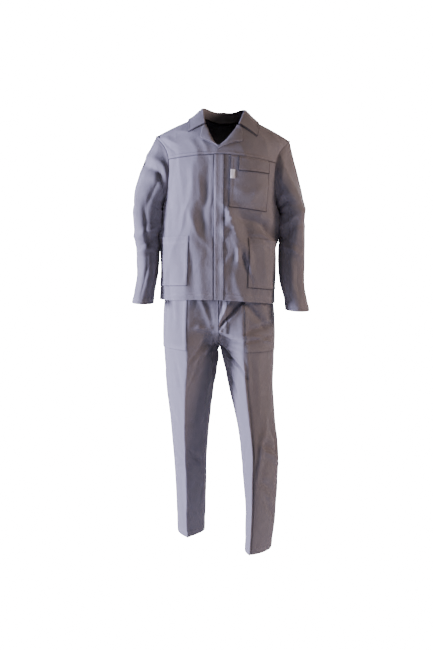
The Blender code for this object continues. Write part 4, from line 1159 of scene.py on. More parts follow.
@dataclass(frozen=True)
class EdgeShape:
    """How a piece of cloth ends at an edge.

    lift raises a band as wide as wide, which ends over a slope set by soft. stitches are the distances
    of its rows of sewing from the edge, groove is how strongly painted shade darkens the very edge
    where it meets another piece, standing in for the shadow there, over a band as wide as dark, and near
    is how strongly the edge is rubbed and puckered.
    """

    lift: float = 0.0
    wide: float = 0.002
    stitches: tuple[float, ...] = ()
    # painted shade: how dark the very edge is painted, standing in for the shadow where another piece meets
    # it
    groove: float = 0.0
    near: float = 1.0
    soft: float = 0.0012
    # width of the band of painted shade at the edge
    dark: float = 0.0021

    def push(self, distance: Array) -> Array:
        """How far the edge's band and sewing move the cloth."""
        total = self.lift * (1 - ramp(self.wide - self.soft, self.wide + self.soft, distance))
        total = total - ROLLED_EDGE * bump(distance, 0.0009)
        for row in self.stitches:
            total = total - STITCH_SINK * bump(distance - row, 0.0011)
        return total


# In each shape the painted shade sets how dark its edge is painted and how wide that band is, standing in
# for the shadow where pieces meet.
OVER = EdgeShape(lift=0.0009, wide=0.0085, stitches=SEAM_ROWS, groove=0.6)
YOKE_OVER = EdgeShape(lift=0.0013, wide=0.0088, stitches=SEAM_ROWS, groove=0.8, dark=0.0028)
UNDER = EdgeShape(lift=-0.0007, wide=0.0016, groove=1.0, near=0.6)
HEM = EdgeShape(lift=0.0007, wide=0.019, stitches=(0.0172,), near=0.9)
FACED = EdgeShape(lift=0.0005, wide=0.007, stitches=(0.0055,), near=0.9)
PATCH = EdgeShape(lift=0.0006, wide=0.006, stitches=(0.0044,), groove=1.0, dark=0.0036)
TWIN_PATCH = EdgeShape(lift=0.0006, wide=0.009, stitches=(0.004, 0.0082), groove=1.0, dark=0.0036)
POCKET_EDGE = EdgeShape(lift=0.0009, wide=0.01, stitches=(0.0046, 0.0088), groove=0.5, dark=0.0038)
FLAP_EDGE = EdgeShape(lift=0.001, wide=0.009, stitches=(0.005,), groove=1.0, dark=0.0048)
TIP = EdgeShape(lift=0.0006, wide=0.007, stitches=(0.0055,), near=0.9, groove=0.8, dark=0.0034)
FLAP_TOP = EdgeShape(lift=-0.0022, wide=0.0045, near=0.3, soft=0.002)
BENEATH = EdgeShape(lift=-0.0012, wide=0.003, groove=0.6, near=0.5)
MOUTH = EdgeShape(lift=0.0005, wide=0.02, stitches=(0.0185,), near=0.8)
TUCKED = EdgeShape(lift=-0.001, wide=0.003, near=0.3)
PLAIN = EdgeShape(near=0.3)


def shaped(*shapes: EdgeShape) -> dict[Edge, EdgeShape]:
    """The shapes of a piece's edges: low, high, first and last."""
    return dict(zip(Edge, shapes))


@dataclass
class SewingLine:
    """A row of sewing: points on the cloth and the way it faces there."""

    points: Array
    normals: Array


def line_beside(points: Array, normals: Array, edge: Edge, distance: float) -> SewingLine:
    """The line on a grid that runs at a distance from one of its edges."""
    if edge.axis == 0:
        points, normals = points.transpose(1, 0, 2), normals.transpose(1, 0, 2)
    if edge.far:
        points, normals = points[:, ::-1], normals[:, ::-1]
    runs = reach(points, 1)
    place, facing = (
        np.array([read_along(run, row, distance) for run, row in zip(runs, grid)])
        for grid in (points, normals)
    )
    return SewingLine(place, unit(facing))


class Sewing:
    """Turns rows of sewing into one mesh of short stitches."""

    pitch = 0.0034
    length = 0.0027
    radius = 0.00034
    cloth_gap = 0.00008
    look_ahead = 0.0005
    shoulder = 0.55
    sunk_end = 0.5
    points_each = 10

    def __init__(self, finishes: Finishes) -> None:
        """Keeps the thread's finish."""
        self.finishes = finishes

    def along(self, line: SewingLine) -> tuple[Array, Array, Array]:
        """Evenly spaced centres on a line, with their directions and normals."""
        run = reach(line.points, 0)
        count = int(run[-1] / self.pitch)
        at = (np.arange(count) + 0.5) * run[-1] / max(count, 1)
        centre, ahead = (read_along(run, line.points, place) for place in (at, at + self.look_ahead))
        return centre, unit(ahead - centre + 1e-12), unit(read_along(run, line.normals, at))

    def build(self, name: str, lines: list[SewingLine]) -> bpy.types.Object | None:
        """Makes one mesh of all the lines' stitches, or None where they are too short for any."""
        runs = [self.along(line) for line in lines]
        centre, way, normal = (np.concatenate([run[k] for run in runs]) for k in range(3))
        if not len(centre):
            return None
        across = unit(np.cross(way, normal))
        half, r = self.length / 2, self.radius
        turns = np.arange(4) * math.pi / 2 + math.pi / 4
        rings = [centre - way * half - normal * r * self.sunk_end]
        for place in (-self.shoulder * half, self.shoulder * half):
            for turn in turns:
                lift = normal * (r * math.sin(turn) + self.cloth_gap)
                rings.append(centre + way * place + across * r * math.cos(turn) + lift)
        rings.append(centre + way * half - normal * r * self.sunk_end)
        verts = np.stack(rings, axis=1).reshape(-1, 3)
        starts = np.arange(len(centre))[:, None] * self.points_each
        faces = []
        for k in range(1, 5):
            after = k % 4 + 1
            for shape in ((k, after, 0), (k + 4, after + 4, after, k), (after + 4, k + 4, 9)):
                faces += (starts + np.array(shape)).tolist()
        made = new_object(name, verts, faces, self.finishes.thread)
        made.data.shade_smooth()
        return made


def new_object(name: str, verts: Array, faces: list, material: bpy.types.Material) -> bpy.types.Object:
    """Makes an object at the origin from points and faces."""
    mesh = bpy.data.meshes.new(name)
    mesh.from_pydata(verts.tolist(), [], faces)
    mesh.materials.append(material)
    made = bpy.data.objects.new(name, mesh)
    bpy.context.scene.collection.objects.link(made)
    return made


def wall_quads(rows: int, columns: int, ring: bool) -> Array:
    """Quads of a closed wall whose outer and inner points are grids of one size."""
    layer = rows * columns
    index = np.arange(layer).reshape(rows, columns)
    if ring:
        index = np.concatenate([index, index[:, :1]], axis=1)
    a, b = index[:-1, :-1].ravel(), index[:-1, 1:].ravel()
    c, d = index[1:, 1:].ravel(), index[1:, :-1].ravel()
    sheets = [np.stack([a, b, c, d], 1), layer + np.stack([a, d, c, b], 1)]
    rims = [(index[0, :-1], index[0, 1:]), (index[-1, 1:], index[-1, :-1])]
    if not ring:
        rims += [(index[1:, 0], index[:-1, 0]), (index[:-1, -1], index[1:, -1])]
    sheets += [np.stack([one, layer + one, layer + other, other], 1) for one, other in rims]
    return np.concatenate(sheets)


CLOTH_GRIDS = ("points", "normals", "u", "v", "push")
TURNING_ROWS = (1.0, 0.45)
TURNING_CORNER = 6
TURNING_DEPTH = 0.0005
EDGE_RUB = 0.0045
STITCH_RUB = 0.004


@dataclass
class Cloth:
    """One cut piece of cloth on its form, named after the node that it stands for.

    points and normals are the form's grid, u and v the cloth's own metres, and push how far the
    folds move it. ring closes its columns, and allowance is what each seam takes. tucks are the
    lengths of the turnings at its edges, and skip counts their rows. more_lines and extra_groove
    are the sewing and the lines of painted shade, standing in for the shadow at seams, that aren't at
    an edge.
    """

    node: str
    points: Array
    normals: Array
    u: Array
    v: Array
    push: Array
    edges: dict[Edge, EdgeShape]
    held: str = "hung"
    rests_on: tuple[str, ...] = ()
    lift: float = 0.0
    thickness: float = 0.0013
    ring: bool = False
    allowance: float = 0.012
    slot: str = "grey_twill"
    suffix: str = "cloth"
    more_lines: list[SewingLine] = field(default_factory=list)
    # painted shade along seam lines that don't lie at an edge
    extra_groove: Array | None = None
    tucks: dict[Edge, float] = field(default_factory=dict)
    skip: dict[Edge, int] = field(default_factory=dict)

    @property
    def name(self) -> str:
        """The piece's name."""
        return f"{self.node}_{self.suffix}"

    def tuck(self) -> None:
        """Adds the turnings that run on under the next piece at the edges in tucks."""
        for edge, length in self.tucks.items():
            at, beside = (-1, -5) if edge.far else (0, 4)
            ends = {key: np.take(getattr(self, key), at, axis=edge.axis) for key in CLOTH_GRIDS}
            way = unit(ends["points"] - np.take(self.points, beside, axis=edge.axis))
            if edge is Edge.HIGH:
                from_corner = np.minimum(np.arange(len(way)), np.arange(len(way))[::-1])
                way = way * np.clip(from_corner / TURNING_CORNER, 0.06, 1)[:, None]
            out = {"points": way}
            for key in ("u", "v"):
                slope = np.take(np.gradient(getattr(self, key), axis=edge.axis), at, axis=edge.axis)
                out[key] = np.sign(slope) * (1 if edge.far else -1)
            sunk = {"points": ends["normals"] * TURNING_DEPTH}
            for key, end in ends.items():
                rows = [end + out.get(key, 0) * length * share - sunk.get(key, 0) for share in TURNING_ROWS]
                added = np.stack(rows[::-1] if edge.far else rows, axis=edge.axis)
                parts = (getattr(self, key), added) if edge.far else (added, getattr(self, key))
                setattr(self, key, np.concatenate(parts, axis=edge.axis))
            self.skip[edge] = len(TURNING_ROWS)

    def cut(self, grid: Array) -> Array:
        """A grid of the piece without its turnings."""
        low, high, first, last = (self.skip.get(edge, 0) for edge in Edge)
        rows, columns = grid.shape[:2]
        return grid[low : rows - high, first : columns - last]

    def distance(self, edge: Edge) -> Array:
        """How far each point of the grid is from an edge, along the cloth."""
        run = reach(self.points, edge.axis)
        start = self.skip.get(edge, 0)
        zero = np.take(run, [-1 - start if edge.far else start], axis=edge.axis)
        return np.maximum(zero - run if edge.far else run - zero, 0)

    def outer(self) -> Array:
        """The grid of the outer face, folds and edges included."""
        moves = [shape.push(self.distance(edge)) for edge, shape in self.edges.items()]
        raised = np.maximum(np.max(moves, axis=0), 0)
        total = self.push + self.lift + raised + np.minimum(np.min(moves, axis=0), 0)
        return self.points + self.normals * total[..., None]

    def flat_size(self) -> Three:
        """The cut's width, length and area, with what the seams take."""
        corners = self.cut(self.points)
        if self.ring:
            corners = np.concatenate([corners, corners[:, :1]], axis=1)
        width = float(reach(corners, 1)[:, -1].max())
        length = float(reach(corners, 0)[-1].max())
        across, up = np.diff(corners, axis=1), np.diff(corners, axis=0)
        halves = np.cross(across[:-1], up[:, :-1]), np.cross(across[1:], up[:, 1:])
        area = sum(float(np.linalg.norm(half, axis=-1).sum()) / 2 for half in halves)
        area += 2 * self.allowance * (width + length)
        width, length = width + 2 * self.allowance, length + 2 * self.allowance
        return width, length, min(area, width * length)

    def build(self, finishes: Finishes) -> bpy.types.Object:
        """Makes the piece and its sewing, declares both, and returns the cloth."""
        self.tuck()
        outer = self.outer()
        inner = outer - self.normals * self.thickness
        rows, columns = outer.shape[:2]
        verts = np.concatenate([outer.reshape(-1, 3), inner.reshape(-1, 3)])
        cloth = finishes.tape if self.slot == "woven_tab" else finishes.twill
        quads = wall_quads(rows, columns, self.ring)
        middle = (rows // 2) * columns + columns // 2
        quad = verts[[middle, middle + 1, middle + columns + 1]]
        if np.cross(quad[1] - quad[0], quad[2] - quad[1]) @ self.normals[rows // 2, columns // 2] < 0:
            quads = quads[:, ::-1]
        made = new_object(self.name, verts, quads.tolist(), cloth)
        made.data.shade_smooth()
        made.data.set_sharp_from_angle(angle=SHARP_ANGLE)
        self.mark(made, quads)
        lines = list(self.more_lines)
        sewn, facing = self.cut(outer), self.cut(self.normals)
        if self.ring:
            sewn, facing = (np.concatenate([grid, grid[:, :1]], axis=1) for grid in (sewn, facing))
        for edge, shape in self.edges.items():
            lines += [line_beside(sewn, facing, edge, row) for row in shape.stitches]
        sewing = Sewing(finishes).build(f"{self.name}_sewing", lines) if lines else None
        declare(made, self.slot, self.node)
        together = [sewing] if sewing else []
        for piece in together:
            declare(piece, self.slot)
        width, length, area = self.flat_size()
        list(self.rests_on)
        stitches = len(sewing.data.vertices) // Sewing.points_each if sewing else 0
        LOG.info(
            "%s: cut %.3f x %.3f m, area %.4f m2, %d quads, %d stitches",
            self.name, width, length, area, len(quads), stitches,
        )
        return made

    def mark(self, made: bpy.types.Object, quads: Array) -> None:
        """Gives the mesh its cloth coordinates, says how near each point is to an edge, and marks where
        painted shade darkens it at seams.
        """
        near, groove = np.zeros(self.u.shape), np.zeros(self.u.shape)
        for edge, shape in self.edges.items():
            distance = self.distance(edge)
            close = bump(distance, EDGE_RUB) * shape.near
            for row in shape.stitches:
                close = np.maximum(close, bump(distance - row, STITCH_RUB) * 0.9)
            near = np.maximum(near, close)
            # painted shade: a dark band at each edge where pieces meet, and along the extra seam lines,
            # standing in for the shadow there
            groove = np.maximum(groove, shape.groove * (1 - ramp(0.3 * shape.dark, shape.dark, distance)))
        if self.extra_groove is not None:
            groove = np.maximum(groove, self.extra_groove)
        for name, values in (("near", near), ("groove", groove)):
            layer = made.data.attributes.new(name, "FLOAT", "POINT")
            layer.data.foreach_set("value", np.tile(values.ravel(), 2).astype(np.float32))
        flat = np.stack([np.tile(self.u.ravel(), 2), np.tile(self.v.ravel(), 2)], axis=-1)
        uv = made.data.uv_layers.new(name="cloth")
        uv.data.foreach_set("uv", flat[quads.ravel()].astype(np.float32).ravel())


PATCH_GAP = 0.0004
PATCH_CLOTH = 0.0011


def laid_on(under: str, above: float = 0.0) -> dict:
    """What all patches share, each sewn flat on another piece or as far above it as given."""
    return {
        "lift": PATCH_GAP + PATCH_CLOTH + above,
        "thickness": PATCH_CLOTH,
        "held": "laid",
        "allowance": 0.004,
        "rests_on": (f"{under}_cloth",),
    }


def declare(piece: bpy.types.Object, slot: str, node: str | None = None) -> None:
    """Hangs a piece on the root body and hides the solid that it stands for."""
    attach(piece, "root")
    if node is not None:
        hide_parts(node)


# ========== jacket


CLOTH_EASE = 1.15


@dataclass(frozen=True)
class CollarStation:
    """A place along the collar: where its free edge lies, and how high and far it stands."""

    edge_x: float
    edge_rise: float
    stand: float
    lean: float


@dataclass(frozen=True)
class LapelRow:
    """A row of a lapel, from the roll line to its free edge."""

    roll_rise: float
    edge_x: float
    edge_rise: float


@dataclass(frozen=True)
class PocketFullness:
    """A pocket's fullness between two rises and two angles, and how far its mouth gapes."""

    low: float
    high: float
    inner: float
    outer: float
    height: float
    gape: float = 0.0


@dataclass
class Jacket:
    """The jacket's fronts, yokes, back and sleeves, and what is sewn on the fronts."""

    finishes: Finishes
    body: JacketBody = field(default_factory=JacketBody)
    step: float = 0.0042
    placket_width: float = 0.03
    chest_inner_x: float = 0.023
    chest_outer_x: float = 0.142
    lower_x: float = 0.09
    chest_rows: tuple[float, float] = (0.92, 1.292)
    flap_rows: tuple[float, float] = (1.17, 1.292)
    lower_rows: tuple[float, float] = (0.14, 0.64)
    flap_lift: float = 0.0006
    seam_tuck: float = 0.009
    overlap: float = 0.014
    calm_back: float = 0.028
    calm_neck: float = 0.14
    sleeve_lap: tuple[float, float] = (0.0072, 0.0096)
    lap_lift: float = 0.0008
    tab_size: tuple[float, float] = (0.014, 0.028)
    tab_lift: float = 0.0034

    def region(
        self, name: str, side: Side, start: Array, end: Array, rises: Array, across: Array, **more: object
    ) -> Cloth:
        """A piece of cloth on the body, between two lines.

        Args:
            name: The node's name.
            side: The wearer's side.
            start: The angle of its first edge at each rise.
            end: The angle of its last edge at each rise.
            rises: The rises of its rows.
            across: The shares of the way across of its columns.
            more: A pocket's fullness, and other fields of the cloth.

        Returns:
            The cloth, not yet built.
        """
        angle = side.value * (start[:, None] + (end - start)[:, None] * across[None, :])
        rise = rises[:, None] + np.zeros_like(angle)
        fullness = more.pop("fullness", None)
        push = self.body.push(angle, rise)
        if fullness is not None:
            push = push + self.bulge(fullness, angle, rise)
        return Cloth(
            node=name,
            points=self.body.place(angle, rise),
            normals=self.body.normals(angle, rise),
            u=angle * self.body.girth * CLOTH_EASE,
            v=self.body.cloth_v(rise),
            push=push,
            **more,
        )

    def rises(self, low: float, high: float, **ends: bool) -> Array:
        """Rises of a piece's rows, close together near its ends."""
        low, high = self.body.cloth_v((low, high))
        return self.body.rise_at(low + (high - low) * shares(high - low, self.step, **ends))

    def ends(self, side: Side, rises: Array) -> tuple[Array, Array]:
        """The angles of a front's inner edge and of the side seam or armhole."""
        edge = self.body.angle_at(self.body.front_edge(side, rises), rises)
        return edge, self.body.side_angle(rises, False)

    def front(self, side: Side) -> Cloth:
        """A front below the yoke."""
        rises = self.rises(0.0, self.body.yoke_rise)
        meets, tucks = FACED, {Edge.HIGH: self.seam_tuck}
        if side is Side.RIGHT:
            meets, tucks[Edge.FIRST] = BENEATH, self.overlap
        return self.region(
            f"jacket_front_{side.word}", side, *self.ends(side, rises), rises, shares(0.205, self.step),
            edges=shaped(HEM, UNDER, meets, OVER),
            rests_on=(f"jacket_yoke_{side.word}_cloth",), tucks=tucks,
        )

    def yoke(self, side: Side) -> Cloth:
        """A front yoke, from its seam to the shoulder."""
        rises = self.rises(self.body.yoke_rise, 2.0)
        return self.region(
            f"jacket_yoke_{side.word}", side, *self.ends(side, rises), rises, shares(0.19, self.step),
            edges=shaped(YOKE_OVER, OVER, PLAIN, OVER),
            held="draped",
        )

    def back(self) -> Cloth:
        """The one-piece back."""
        body, rows = self.body, self.rises(0.0, 2.0)[:, None]
        half = shares(0.27, self.step, high_edge=False)
        top_rise = np.where(half >= body.neck_share(), body.neck_rise(body.back_top_x(half)), 2.0)
        edge = body.side_angle(rows, True)
        angle = edge + (math.pi - edge) * half
        rise = np.where(rows <= 1, rows, 1 + (rows - 1) * (top_rise - 1))
        angle = np.concatenate([angle, -angle[:, -2::-1]], axis=1)
        rise = np.concatenate([rise, rise[:, -2::-1]], axis=1)
        points, normals = body.place(angle, rise), body.normals(angle, rise)
        centre = points.shape[1] // 2
        points[:, centre, 0] = 0.0
        normals[:, centre, 0] = 0.0
        from_back = (math.pi - np.abs(angle)) * body.girth * np.sign(angle)
        push = body.push(angle, rise)
        middle = bump(from_back, self.calm_back)
        push = push * (1 - middle) + push[:, [centre]] * middle
        top = body.neck_rise(np.minimum(np.abs(points[..., 0]), body.neck_half))
        push = push * (1 - ramp(-self.calm_neck, 0.0, rise - top))
        return Cloth(
            node="jacket_back", points=points, normals=unit(normals),
            u=-from_back * CLOTH_EASE, v=body.cloth_v(rise), push=push,
            edges=shaped(HEM, UNDER, UNDER, UNDER),
            rests_on=("jacket_yoke_left_cloth", "jacket_yoke_right_cloth"), tucks={Edge.HIGH: 0.006},
        )

    def sleeve(self, side: Side) -> Cloth:
        """A sleeve, with its seam under the arm."""
        form = SleeveForm(side, self.body)
        points, u, v = form.grid(56, self.step)
        normals = grid_normals(points, ring=True) * side.value
        run = reach(points, 0)
        push = SLEEVE_FOLDS[side].push(u, v) * ramp(0.0, 0.018, run - run[2])
        seam = math.pi * SLEEVE_ROUND - np.abs(u)
        lap = np.where(u > 0, seam, 1.0)
        push = push + self.lap_lift * (1 - ramp(*self.sleeve_lap, lap)) - ROLLED_EDGE * bump(seam, 0.0015)
        cloth = Cloth(
            node=f"jacket_sleeve_{side.word}", points=points, normals=normals, u=u, v=v, push=push,
            edges=shaped(UNDER, HEM), ring=True, skip={Edge.LOW: 2},
            rests_on=(f"jacket_front_{side.word}_cloth", "jacket_back_cloth"),
            # painted shade along the underarm seam, standing in for its shadow
            extra_groove=0.8 * bump(seam, 0.0012),
        )
        split = int(np.argmax(np.abs(u[0])))
        rolled, facing = (np.roll(grid, -split, axis=1) for grid in (cloth.outer(), normals))
        edge = Edge.LAST if u[0][(split - 3) % u.shape[1]] > 0 else Edge.FIRST
        cloth.more_lines += [line_beside(rolled, facing, edge, row) for row in SEAM_ROWS]
        return cloth

    def placket(self) -> Cloth:
        """The band down the left front's edge."""
        rises = self.rises(0.004, self.body.yoke_rise - 0.004)
        edge = self.body.front_edge(Side.LEFT, rises)
        bounds = [self.body.angle_at(edge + out, rises) for out in (0.0006, self.placket_width)]
        return self.region(
            "jacket_placket", Side.LEFT, *bounds, rises, shares(self.placket_width, 0.003),
            edges=shaped(PLAIN, TUCKED, FACED, TWIN_PATCH),
            **laid_on("jacket_front_left"),
        )

    def bulge(self, fullness: PocketFullness, angle: Array, rise: Array) -> Array:
        """How far a pocket's fullness moves its cloth out."""
        up = np.clip((rise - fullness.low) / (fullness.high - fullness.low), 0, 1)
        across = np.clip((np.abs(angle) - fullness.inner) / (fullness.outer - fullness.inner), 0, 1)
        full = fullness.height * np.sin(math.pi * up) ** 0.8 + fullness.gape * up**6
        return np.sin(math.pi * across) ** 0.8 * full

    def chest_pocket(self) -> Cloth:
        """The patch pocket on the left chest."""
        rises = self.rises(*self.chest_rows)
        bounds = [self.body.angle_at(x, rises) for x in (self.chest_inner_x + 0.001, self.chest_outer_x)]
        return self.region(
            "chest_pocket", Side.LEFT, *bounds, rises, shares(0.128, self.step),
            edges=shaped(TWIN_PATCH, TUCKED, TWIN_PATCH, PATCH),
            fullness=PocketFullness(*self.chest_rows, 0.15, 1.0, 0.0022),
            **laid_on("jacket_front_left"),
        )

    def flap(self) -> Cloth:
        """The chest pocket's flap."""
        rises = self.rises(*self.flap_rows)
        start, end = self.flap_start(rises), self.body.angle_at(self.chest_outer_x, rises)
        return self.region(
            "chest_pocket_flap", Side.LEFT, start, end, rises, shares(0.108, self.step),
            edges=shaped(FLAP_EDGE, FLAP_TOP, PATCH, PATCH),
            fullness=PocketFullness(*self.chest_rows, 0.15, 1.0, 0.0022),
            **laid_on("chest_pocket", PATCH_GAP + PATCH_CLOTH + self.flap_lift),
        )

    def flap_start(self, rise: Array) -> Array:
        """The angle of the flap's inner edge, a third of the way out to the lower pocket's."""
        inner, outer = (self.body.angle_at(x, rise) for x in (self.chest_inner_x, self.lower_x))
        return inner + (outer - inner) / 3

    def lower_pocket(self, side: Side) -> Cloth:
        """A patch pocket at the hip, whose outer edge is in the side seam."""
        rises = self.rises(*self.lower_rows)
        start = self.body.angle_at(self.lower_x, rises) + 0.004
        end = self.body.side_angle(rises, False) - 0.004
        return self.region(
            f"lower_pocket_{side.word}", side, start, end, rises, shares(0.145, self.step),
            edges=shaped(TWIN_PATCH, MOUTH, TWIN_PATCH, PLAIN),
            fullness=PocketFullness(*self.lower_rows, 0.6, 1.56, 0.002, 0.0026),
            **laid_on(f"jacket_front_{side.word}"),
        )

    def tab(self) -> Cloth:
        """The small bare tab at the flap's corner, a loop of woven tape."""
        low = np.array(self.flap_rows[0])
        inner = self.body.angle_at(self.chest_inner_x, low)
        start = self.body.place(inner, low)
        across = unit(self.body.place(self.flap_start(low), low) - start)
        down = unit(self.body.place(inner, np.array(1.09)) - start)
        normal = self.body.normals(inner, low)
        i, j = np.meshgrid(np.linspace(0, 1, 25), np.linspace(0, 1, 13), indexing="ij")
        width, length = self.tab_size
        u, v = width * j, length * i
        points = start + across * (u + 0.003)[..., None] + down * (length - v - 0.003)[..., None]
        lift = self.tab_lift + self.body.push(inner, low)
        push = lift + 0.0012 * (1 - i) ** 2 + 0.0006 * np.sin(math.pi * j) * (1 - i)
        return Cloth(
            node="pocket_tab", suffix="tape", points=points,
            normals=np.broadcast_to(normal, points.shape).copy(), u=u, v=v, push=push,
            edges={edge: EdgeShape(near=0.8) for edge in Edge}, held="laid",
            rests_on=("chest_pocket_cloth",), thickness=0.0009, allowance=0.001, slot="woven_tab",
        )

    def build(self) -> None:
        """Builds every piece but the collar and the lapels."""
        pieces = []
        for side in Side:
            pieces += [self.sleeve(side), self.front(side), self.yoke(side), self.lower_pocket(side)]
        pieces += [self.back(), self.placket(), self.chest_pocket(), self.flap(), self.tab()]
        for piece in pieces:
            piece.build(self.finishes)


# The collar's stations run up the front to the shoulder line and, with rises past 2, down the back.
COLLAR_FRONT = {
    Side.RIGHT: records(
        CollarStation,
        (0.106, 1.590, 0.006, 0.000),
        (0.109, 1.700, 0.016, 0.004),
        (0.109, 1.845, 0.024, 0.008),
        (0.106, 2.000, 0.029, 0.010),
    ),
    Side.LEFT: records(
        CollarStation,
        (0.104, 1.560, 0.006, 0.000),
        (0.108, 1.690, 0.015, 0.004),
        (0.108, 1.845, 0.023, 0.008),
        (0.105, 2.000, 0.028, 0.010),
    ),
}
COLLAR_BACK = records(
    CollarStation,
    (0.102, 2.200, 0.032, 0.008),
    (0.082, 2.360, 0.035, 0.006),
    (0.044, 2.460, 0.037, 0.004),
    (0.000, 2.490, 0.038, 0.004),
)


@dataclass
class Collar:
    """The collar: a stand inside the neck edge, a fold, and a fall round the shoulders."""

    finishes: Finishes
    body: JacketBody
    start_rises: tuple[float, ...] = (1.65, 1.76, 1.88, 2.0)
    radius: float = 0.003
    lift: float = 0.0028
    settle_power: float = 1.9
    inset: float = 0.0018
    fall: float = 0.055
    stand_shares: tuple[float, ...] = tuple(k / 6 for k in range(6))
    bend_columns: int = 13
    thickness: float = 0.0018
    folds: FoldField = FoldField(
        seed=67, sway=0.0007, drift=0.004,
        creases=folds(
            (-200, 50, -120, 20, 10, 1.6),
            (160, 30, 220, 60, 10, 1.4),
            (-50, 30, 50, 35, 12, 1.2),
        ),
    )

    def seam(self, side: Side, s: Array) -> tuple[Array, Array]:
        """Where the collar is sewn on, at places s from 0 at its front to 7 at the back's centre."""
        rise = read_table(np.arange(4.0), np.array(self.start_rises), np.minimum(s, 3))
        neck = self.body.neck_share()
        back_x = self.body.back_top_x(neck + (1 - neck) * np.clip((s - 3) / 4, 0, 1))
        x = np.where(s <= 3, self.body.front_edge(side, rise), back_x)
        return x, np.where(s <= 3, rise, 4 - self.body.neck_rise(back_x))

    def on_body(self, side: Side, x: Array, rise: Array) -> tuple[Array, Array]:
        """Points and normals of the body where rises past 2 lie on the back."""
        back = rise > 2
        folded = np.where(back, 4 - rise, rise)
        angle = self.body.angle_at(x, folded)
        angle = side.value * np.where(back, math.pi - angle, angle)
        return self.body.place(angle, folded), self.body.normals(angle, folded)

    def half(self, side: Side, s: Array) -> Array:
        """The collar's outer points on one side: a row for each place, from the seam to the edge."""
        stations = columns_of(COLLAR_FRONT[side] + COLLAR_BACK)
        edge_x, edge_rise, stand, lean = (read_table(np.arange(8.0), column, s) for column in stations)
        seam_x, seam_rise = self.seam(side, s)
        seam, _ = self.on_body(side, seam_x, seam_rise)
        up = np.array([0.0, 0.0, 1.0])
        middle = np.stack([0 * s, 0 * s + self.body.shoulder_y, seam[:, 2]], axis=-1)
        toward = unit(middle - seam)
        straight = (stand - self.radius)[:, None]
        base = seam + toward * self.inset
        centre = base + toward * (lean[:, None] - self.radius) + up * straight
        columns = [base + (centre + toward * self.radius - base) * t for t in self.stand_shares]
        for bend in np.linspace(0, math.pi, self.bend_columns):
            columns.append(centre + (toward * math.cos(bend) + up * math.sin(bend)) * self.radius)
        gap = columns[-1] - seam - up * (straight + self.lift + self.thickness)
        for t in shares(self.fall, 0.0035, low_edge=False)[1:]:
            x, rise = seam_x + (edge_x - seam_x) * t, seam_rise + (edge_rise - seam_rise) * t
            point, normal = self.on_body(side, x, rise)
            height = self.lift + straight * (1 - t) ** self.settle_power + self.thickness
            columns.append(point + unit(normal * t + up * (1 - t)) * height + gap * (1 - t) ** 4)
        return np.stack(columns, axis=1)

    def build(self) -> None:
        """Builds the collar."""
        s = 7 * shares(0.235, 0.0038, high_edge=False)
        right, left = self.half(Side.RIGHT, s), self.half(Side.LEFT, s)
        points = np.concatenate([right, left[-2::-1]], axis=0)
        centre = len(s) - 1
        points[centre, :, 0] = 0.0
        normals = grid_normals(points)
        top = len(self.stand_shares) + self.bend_columns // 2
        if normals[centre, top] @ (points[centre, top] - points[centre, 0]) < 0:
            normals = -normals
        normals[centre, :, 0] = 0.0
        u, v = reach(points[:, -1:], 0), reach(points, 1)
        u = np.broadcast_to(u - u[centre], v.shape).copy()
        fallen = v - v[:, [len(self.stand_shares) + self.bend_columns - 1]]
        push = self.folds.push(u, fallen) * ramp(0.0, 0.02, fallen)
        Cloth(
            node="jacket_collar", points=points, normals=unit(normals), u=u, v=v, push=push,
            edges=shaped(TIP, TIP, PLAIN, TIP), held="folded", thickness=self.thickness, allowance=0.008,
            rests_on=("jacket_yoke_left_cloth", "jacket_yoke_right_cloth", "jacket_back_cloth"),
        ).build(self.finishes)


LAPEL_ROWS = {
    Side.RIGHT: records(
        LapelRow,
        (1.385, 0.012, 1.352),
        (1.430, 0.034, 1.392),
        (1.490, 0.053, 1.430),
        (1.560, 0.069, 1.470),
        (1.635, 0.064, 1.620),
    ),
    Side.LEFT: records(
        LapelRow,
        (1.385, -0.014, 1.327),
        (1.430, 0.011, 1.366),
        (1.490, 0.036, 1.406),
        (1.560, 0.061, 1.446),
        (1.635, 0.057, 1.605),
    ),
}


